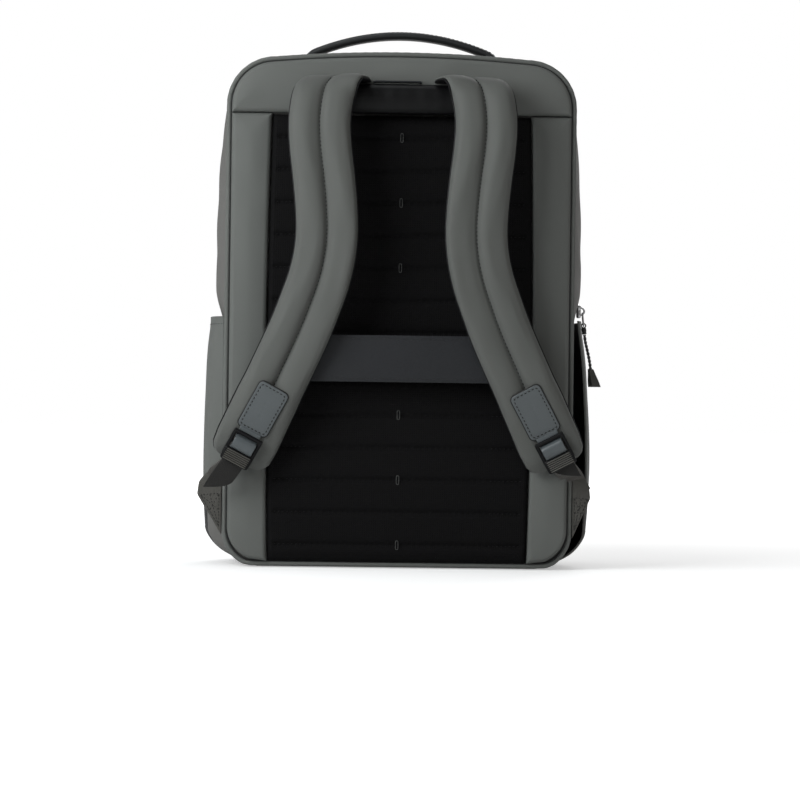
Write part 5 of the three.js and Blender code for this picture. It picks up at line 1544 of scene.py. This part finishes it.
# Skin of a pocket: the bag's skin at a height or a turn round its corner, stood out by the two tables
def pocketGrid(side, turns, heights, shares, extra):
    name = "right" if side > 0 else "left"
    run = smoothTable(shares, pocketRuns["share"], pocketRuns[name])[:, None]
    along = (pocket["back"] + (pocket["front"] - pocket["back"]) * shares)[:, None]
    inset = smoothTable(along, edgeRound["along"], edgeRound["inset"]) * bag["edgeRound"]
    stand = bag["clear"] - inset - pocket["tuck"] * shares[:, None] ** 8
    out = smoothTable(turns, pocketCorner["turn"], pocketCorner["out"])[None]
    thin = smoothTable(turns, pocketCorner["turn"], pocketCorner["thin"])[None]
    radius = bag["baseRadius"] + stand + pocket["deep"] * out * run + extra * thin
    angle = (turns * np.pi / 2)[None]
    cornerX = bag["halfWidth"] - bag["baseRadius"] + radius * np.sin(angle)
    cornerZ = bag["baseRadius"] - radius * np.cos(angle)
    up = (heights - bag["baseRadius"]) / (bag["pocketTop"] - bag["baseRadius"])
    puff = smoothTable(up, pocketSide["up"], pocketSide[name])[None]
    sideZ = np.broadcast_to(heights[None], run.shape[:1] + heights.shape)
    sideX = bag["halfWidth"] * swellAt(along + 0 * sideZ, sideZ) + stand + pocket["deep"] * puff * run + extra
    cornerX = cornerX * swellAt(along + 0 * cornerZ, np.maximum(cornerZ, 0))
    x, z = np.hstack([cornerX, sideX]), np.hstack([cornerZ, sideZ])
    y = bag["backY"] + along * depthAt(z)
    return np.stack([side * x, y, z], -1)


def addPocket(side):
    name = "Right" if side > 0 else "Left"
    shares = 0.5 - 0.5 * np.cos(np.pi * np.linspace(0, 1, 70))
    seam, top = pocket["seam"], bag["pocketTop"]
    turns = np.linspace(0.4, 1, 26)
    lower = np.linspace(bag["baseRadius"] + 1, seam - bag["clear"], 14)
    upper = np.linspace(seam, top - 0.4, 90)
    none = np.zeros(0)
    panel = addShell(f"pocketPanel{name}", pocketGrid(side, none, upper, shares, pocket["thick"]),
                     pocketGrid(side, none, upper, shares, 0.0))
    dress(panel, materials["greyCloth"], "grey_fabric", f"pocket_panel_{name.lower()}")
    hem = shares <= pocket[f"{name.lower()}Hem"]
    last = np.count_nonzero(hem)
    sides = [pocketGrid(side, turns, lower, shares, thick) for thick in (pocket["thick"], 0.0)]
    base = addShell(f"pocketBase{name}", *(grid[last - 1:] for grid in sides))
    dress(base, materials["blackCloth"], "black_mesh", f"pocket_base_{name.lower()}")
    rim = addShell(f"pocketRim{name}", *(grid[:last] for grid in sides))
    # The rim wears the same lightened, warmed grey fabric: painted light
    dress(rim, materials["litGussetCloth"], "grey_fabric")
    mouth = pocketGrid(side, none, np.array([top - 7.0]), shares, pocket["thick"])[:, 0]
    normals = np.tile([[float(side), 0, 0]], (len(mouth), 1))
    thread = addStitches(f"pocketStitches{name}", mouth, normals, "pocket")
    dress(thread, materials["darkThreadAndShade"], "black_mesh")


def addLining():
    heights = np.linspace(0.2, 0.88, 40) * bag["pocketTop"]
    along = np.linspace(0.06, 0.3, 16)[:, None]
    z = np.broadcast_to(heights[None], (16, 40))
    x = bag["halfWidth"] * swellAt(along + 0 * z, z)
    y = bag["backY"] + along * depthAt(z)
    grids = [np.stack([x + bag["clear"] + thick, y, z], -1) for thick in (1.0, 0.0)]
    dress(addShell("pocketLining", *grids), materials["blackCloth"], "black_mesh", "pocket_lining_right")


for side in (1, -1):
    addPocket(side)
addLining()
print("pockets made")


# Top handle: an arch x to z, a parabola that blends into flat feet, with a padded section
handle = {"rise": 23.0, "sag": 26.5, "half": 99.0, "thick": 7.2, "wide": 18.0, "footThick": 3.0,
          "footWide": 22.0, "footFrom": 76.0, "footTo": 91.0}
handleLow, handleHigh = boxOf("top_handle")


def addHandle():
    x = np.linspace(-1, 1, 101) * handle["half"]
    foot = smoothStep((np.abs(x) - handle["footFrom"]) / (handle["footTo"] - handle["footFrom"]))
    thick = handle["thick"] + (handle["footThick"] - handle["thick"]) * foot
    wide = handle["wide"] + (handle["footWide"] - handle["wide"]) * foot
    arch = bag["height"] + handle["rise"] - handle["sag"] * (x / handle["half"]) ** 2
    flat = bag["height"] - bag["crown"] * (x / (bag["halfWidth"] - bag["topRadius"])) ** 2
    z = arch + (flat + bag["clear"] + thick / 2 - arch) * foot
    y = (handleLow[1] + handleHigh[1]) / 2
    place = np.stack([x, y + 0 * x, z], -1)
    across = alike((0, 1, 0), place)
    out = unit(np.cross(tangents(place), across))
    turn = fullTurn(32)
    side = bend(np.cos(turn), 2.6)[None] * wide[:, None] / 2
    height = bend(np.sin(turn), 2.6)[None] * thick[:, None] / 2
    piece = addTube("topHandle", swept(place, across, out, side, height))
    dress(piece, materials["handleLeather"], "dark_leather", "top_handle")
    smoothed(piece)
    threads = []
    up = out * np.sign(out[len(x) // 2, 2])
    for edge in (-1, 1):
        row = place + across * (edge * wide * 0.36)[:, None] + up * (thick * 0.40)[:, None]
        threads.append(addStitches("run", row, up + across * edge * 0.5, "handle"))
    dress(joined("handleStitches", threads), materials["darkThreadAndShade"], "dark_leather")


addHandle()
print("handle made")


# Stage: a pale floor, a white surrounding and soft lamps
lamps = {
    "key": {"place": (-0.8, -0.84, 0.68), "size": 0.75, "power": 12.0, "colour": (0.96, 0.99, 1.0)},
    "fill": {"place": (2.2, -1.8, 1.0), "size": 1.8, "power": 4.0, "colour": (1.0, 0.93, 0.84)},
    "top": {"place": (-0.3, -0.2, 2.0), "size": 1.0, "power": 5.0, "colour": (0.94, 0.98, 1.0)},
    "rear": {"place": (0.9, 2.3, 1.5), "size": 1.6, "power": 36.0, "colour": (1.0, 1.0, 1.0)},
}
surround = {"seen": 1.0, "lit": 0.21, "floorGlow": 0.4, "farGlow": 0.85, "near": 0.35, "far": 1.6}


def addStage():
    half = 12.0
    corners = [(-half, -half, 0), (half, -half, 0), (half, half, 0), (-half, half, 0)]
    floorMesh = bpy.data.meshes.new("floor")
    floorMesh.from_pydata([(x, y, -0.0004) for x, y, _ in corners], [], [(0, 1, 2, 3)])
    floor = bpy.data.objects.new("floor", floorMesh)
    bpy.context.scene.collection.objects.link(floor)
    pale = bpy.data.materials.new("paleFloor")
    pale.use_nodes = True
    shader = pale.node_tree.nodes["Principled BSDF"]
    shader.inputs["Base Color"].default_value = (0.86, 0.86, 0.86, 1)
    shader.inputs["Roughness"].default_value = 0.9
    shader.inputs["Specular IOR Level"].default_value = 0.0
    shader.inputs["Emission Color"].default_value = (1, 1, 1, 1)
    path = addNode(pale.node_tree, "ShaderNodeLightPath")
    place = addNode(pale.node_tree, "ShaderNodeTexCoord").outputs["Object"]
    away = addNode(pale.node_tree, "ShaderNodeVectorMath", operation="LENGTH")
    pale.node_tree.links.new(place, away.inputs[0])
    reach = addNode(pale.node_tree, "ShaderNodeMapRange")
    pale.node_tree.links.new(away.outputs["Value"], reach.inputs["Value"])
    ends = {"From Min": "near", "From Max": "far", "To Min": "floorGlow", "To Max": "farGlow"}
    for label, key in ends.items():
        reach.inputs[label].default_value = surround[key]
    glow = arithmetic(pale.node_tree, "MULTIPLY", path.outputs["Is Camera Ray"], reach.outputs["Result"])
    pale.node_tree.links.new(glow, shader.inputs["Emission Strength"])
    floorMesh.materials.append(pale)
    world = bpy.context.scene.world or bpy.data.worlds.new("studio")
    bpy.context.scene.world = world
    world.use_nodes = True
    sky = world.node_tree.nodes["Background"]
    sky.inputs["Color"].default_value = (1, 1, 1, 1)
    path = addNode(world.node_tree, "ShaderNodeLightPath")
    added = surround["seen"] - surround["lit"]
    more = arithmetic(world.node_tree, "MULTIPLY", path.outputs["Is Camera Ray"], added)
    strength = arithmetic(world.node_tree, "ADD", more, surround["lit"])
    world.node_tree.links.new(strength, sky.inputs["Strength"])
    for name, lamp in lamps.items():
        light = bpy.data.lights.new(name, "AREA")
        light.size = lamp["size"]
        light.energy = lamp["power"]
        light.color = lamp["colour"]
        holder = bpy.data.objects.new(name, light)
        bpy.context.scene.collection.objects.link(holder)
        holder.location = lamp["place"]
        aim = Vector((0, 0, 0.22)) - holder.location
        holder.rotation_euler = aim.to_track_quat("-Z", "Y").to_euler()
    bpy.context.scene.view_settings.view_transform = "Standard"


addStage()
print("stage set")
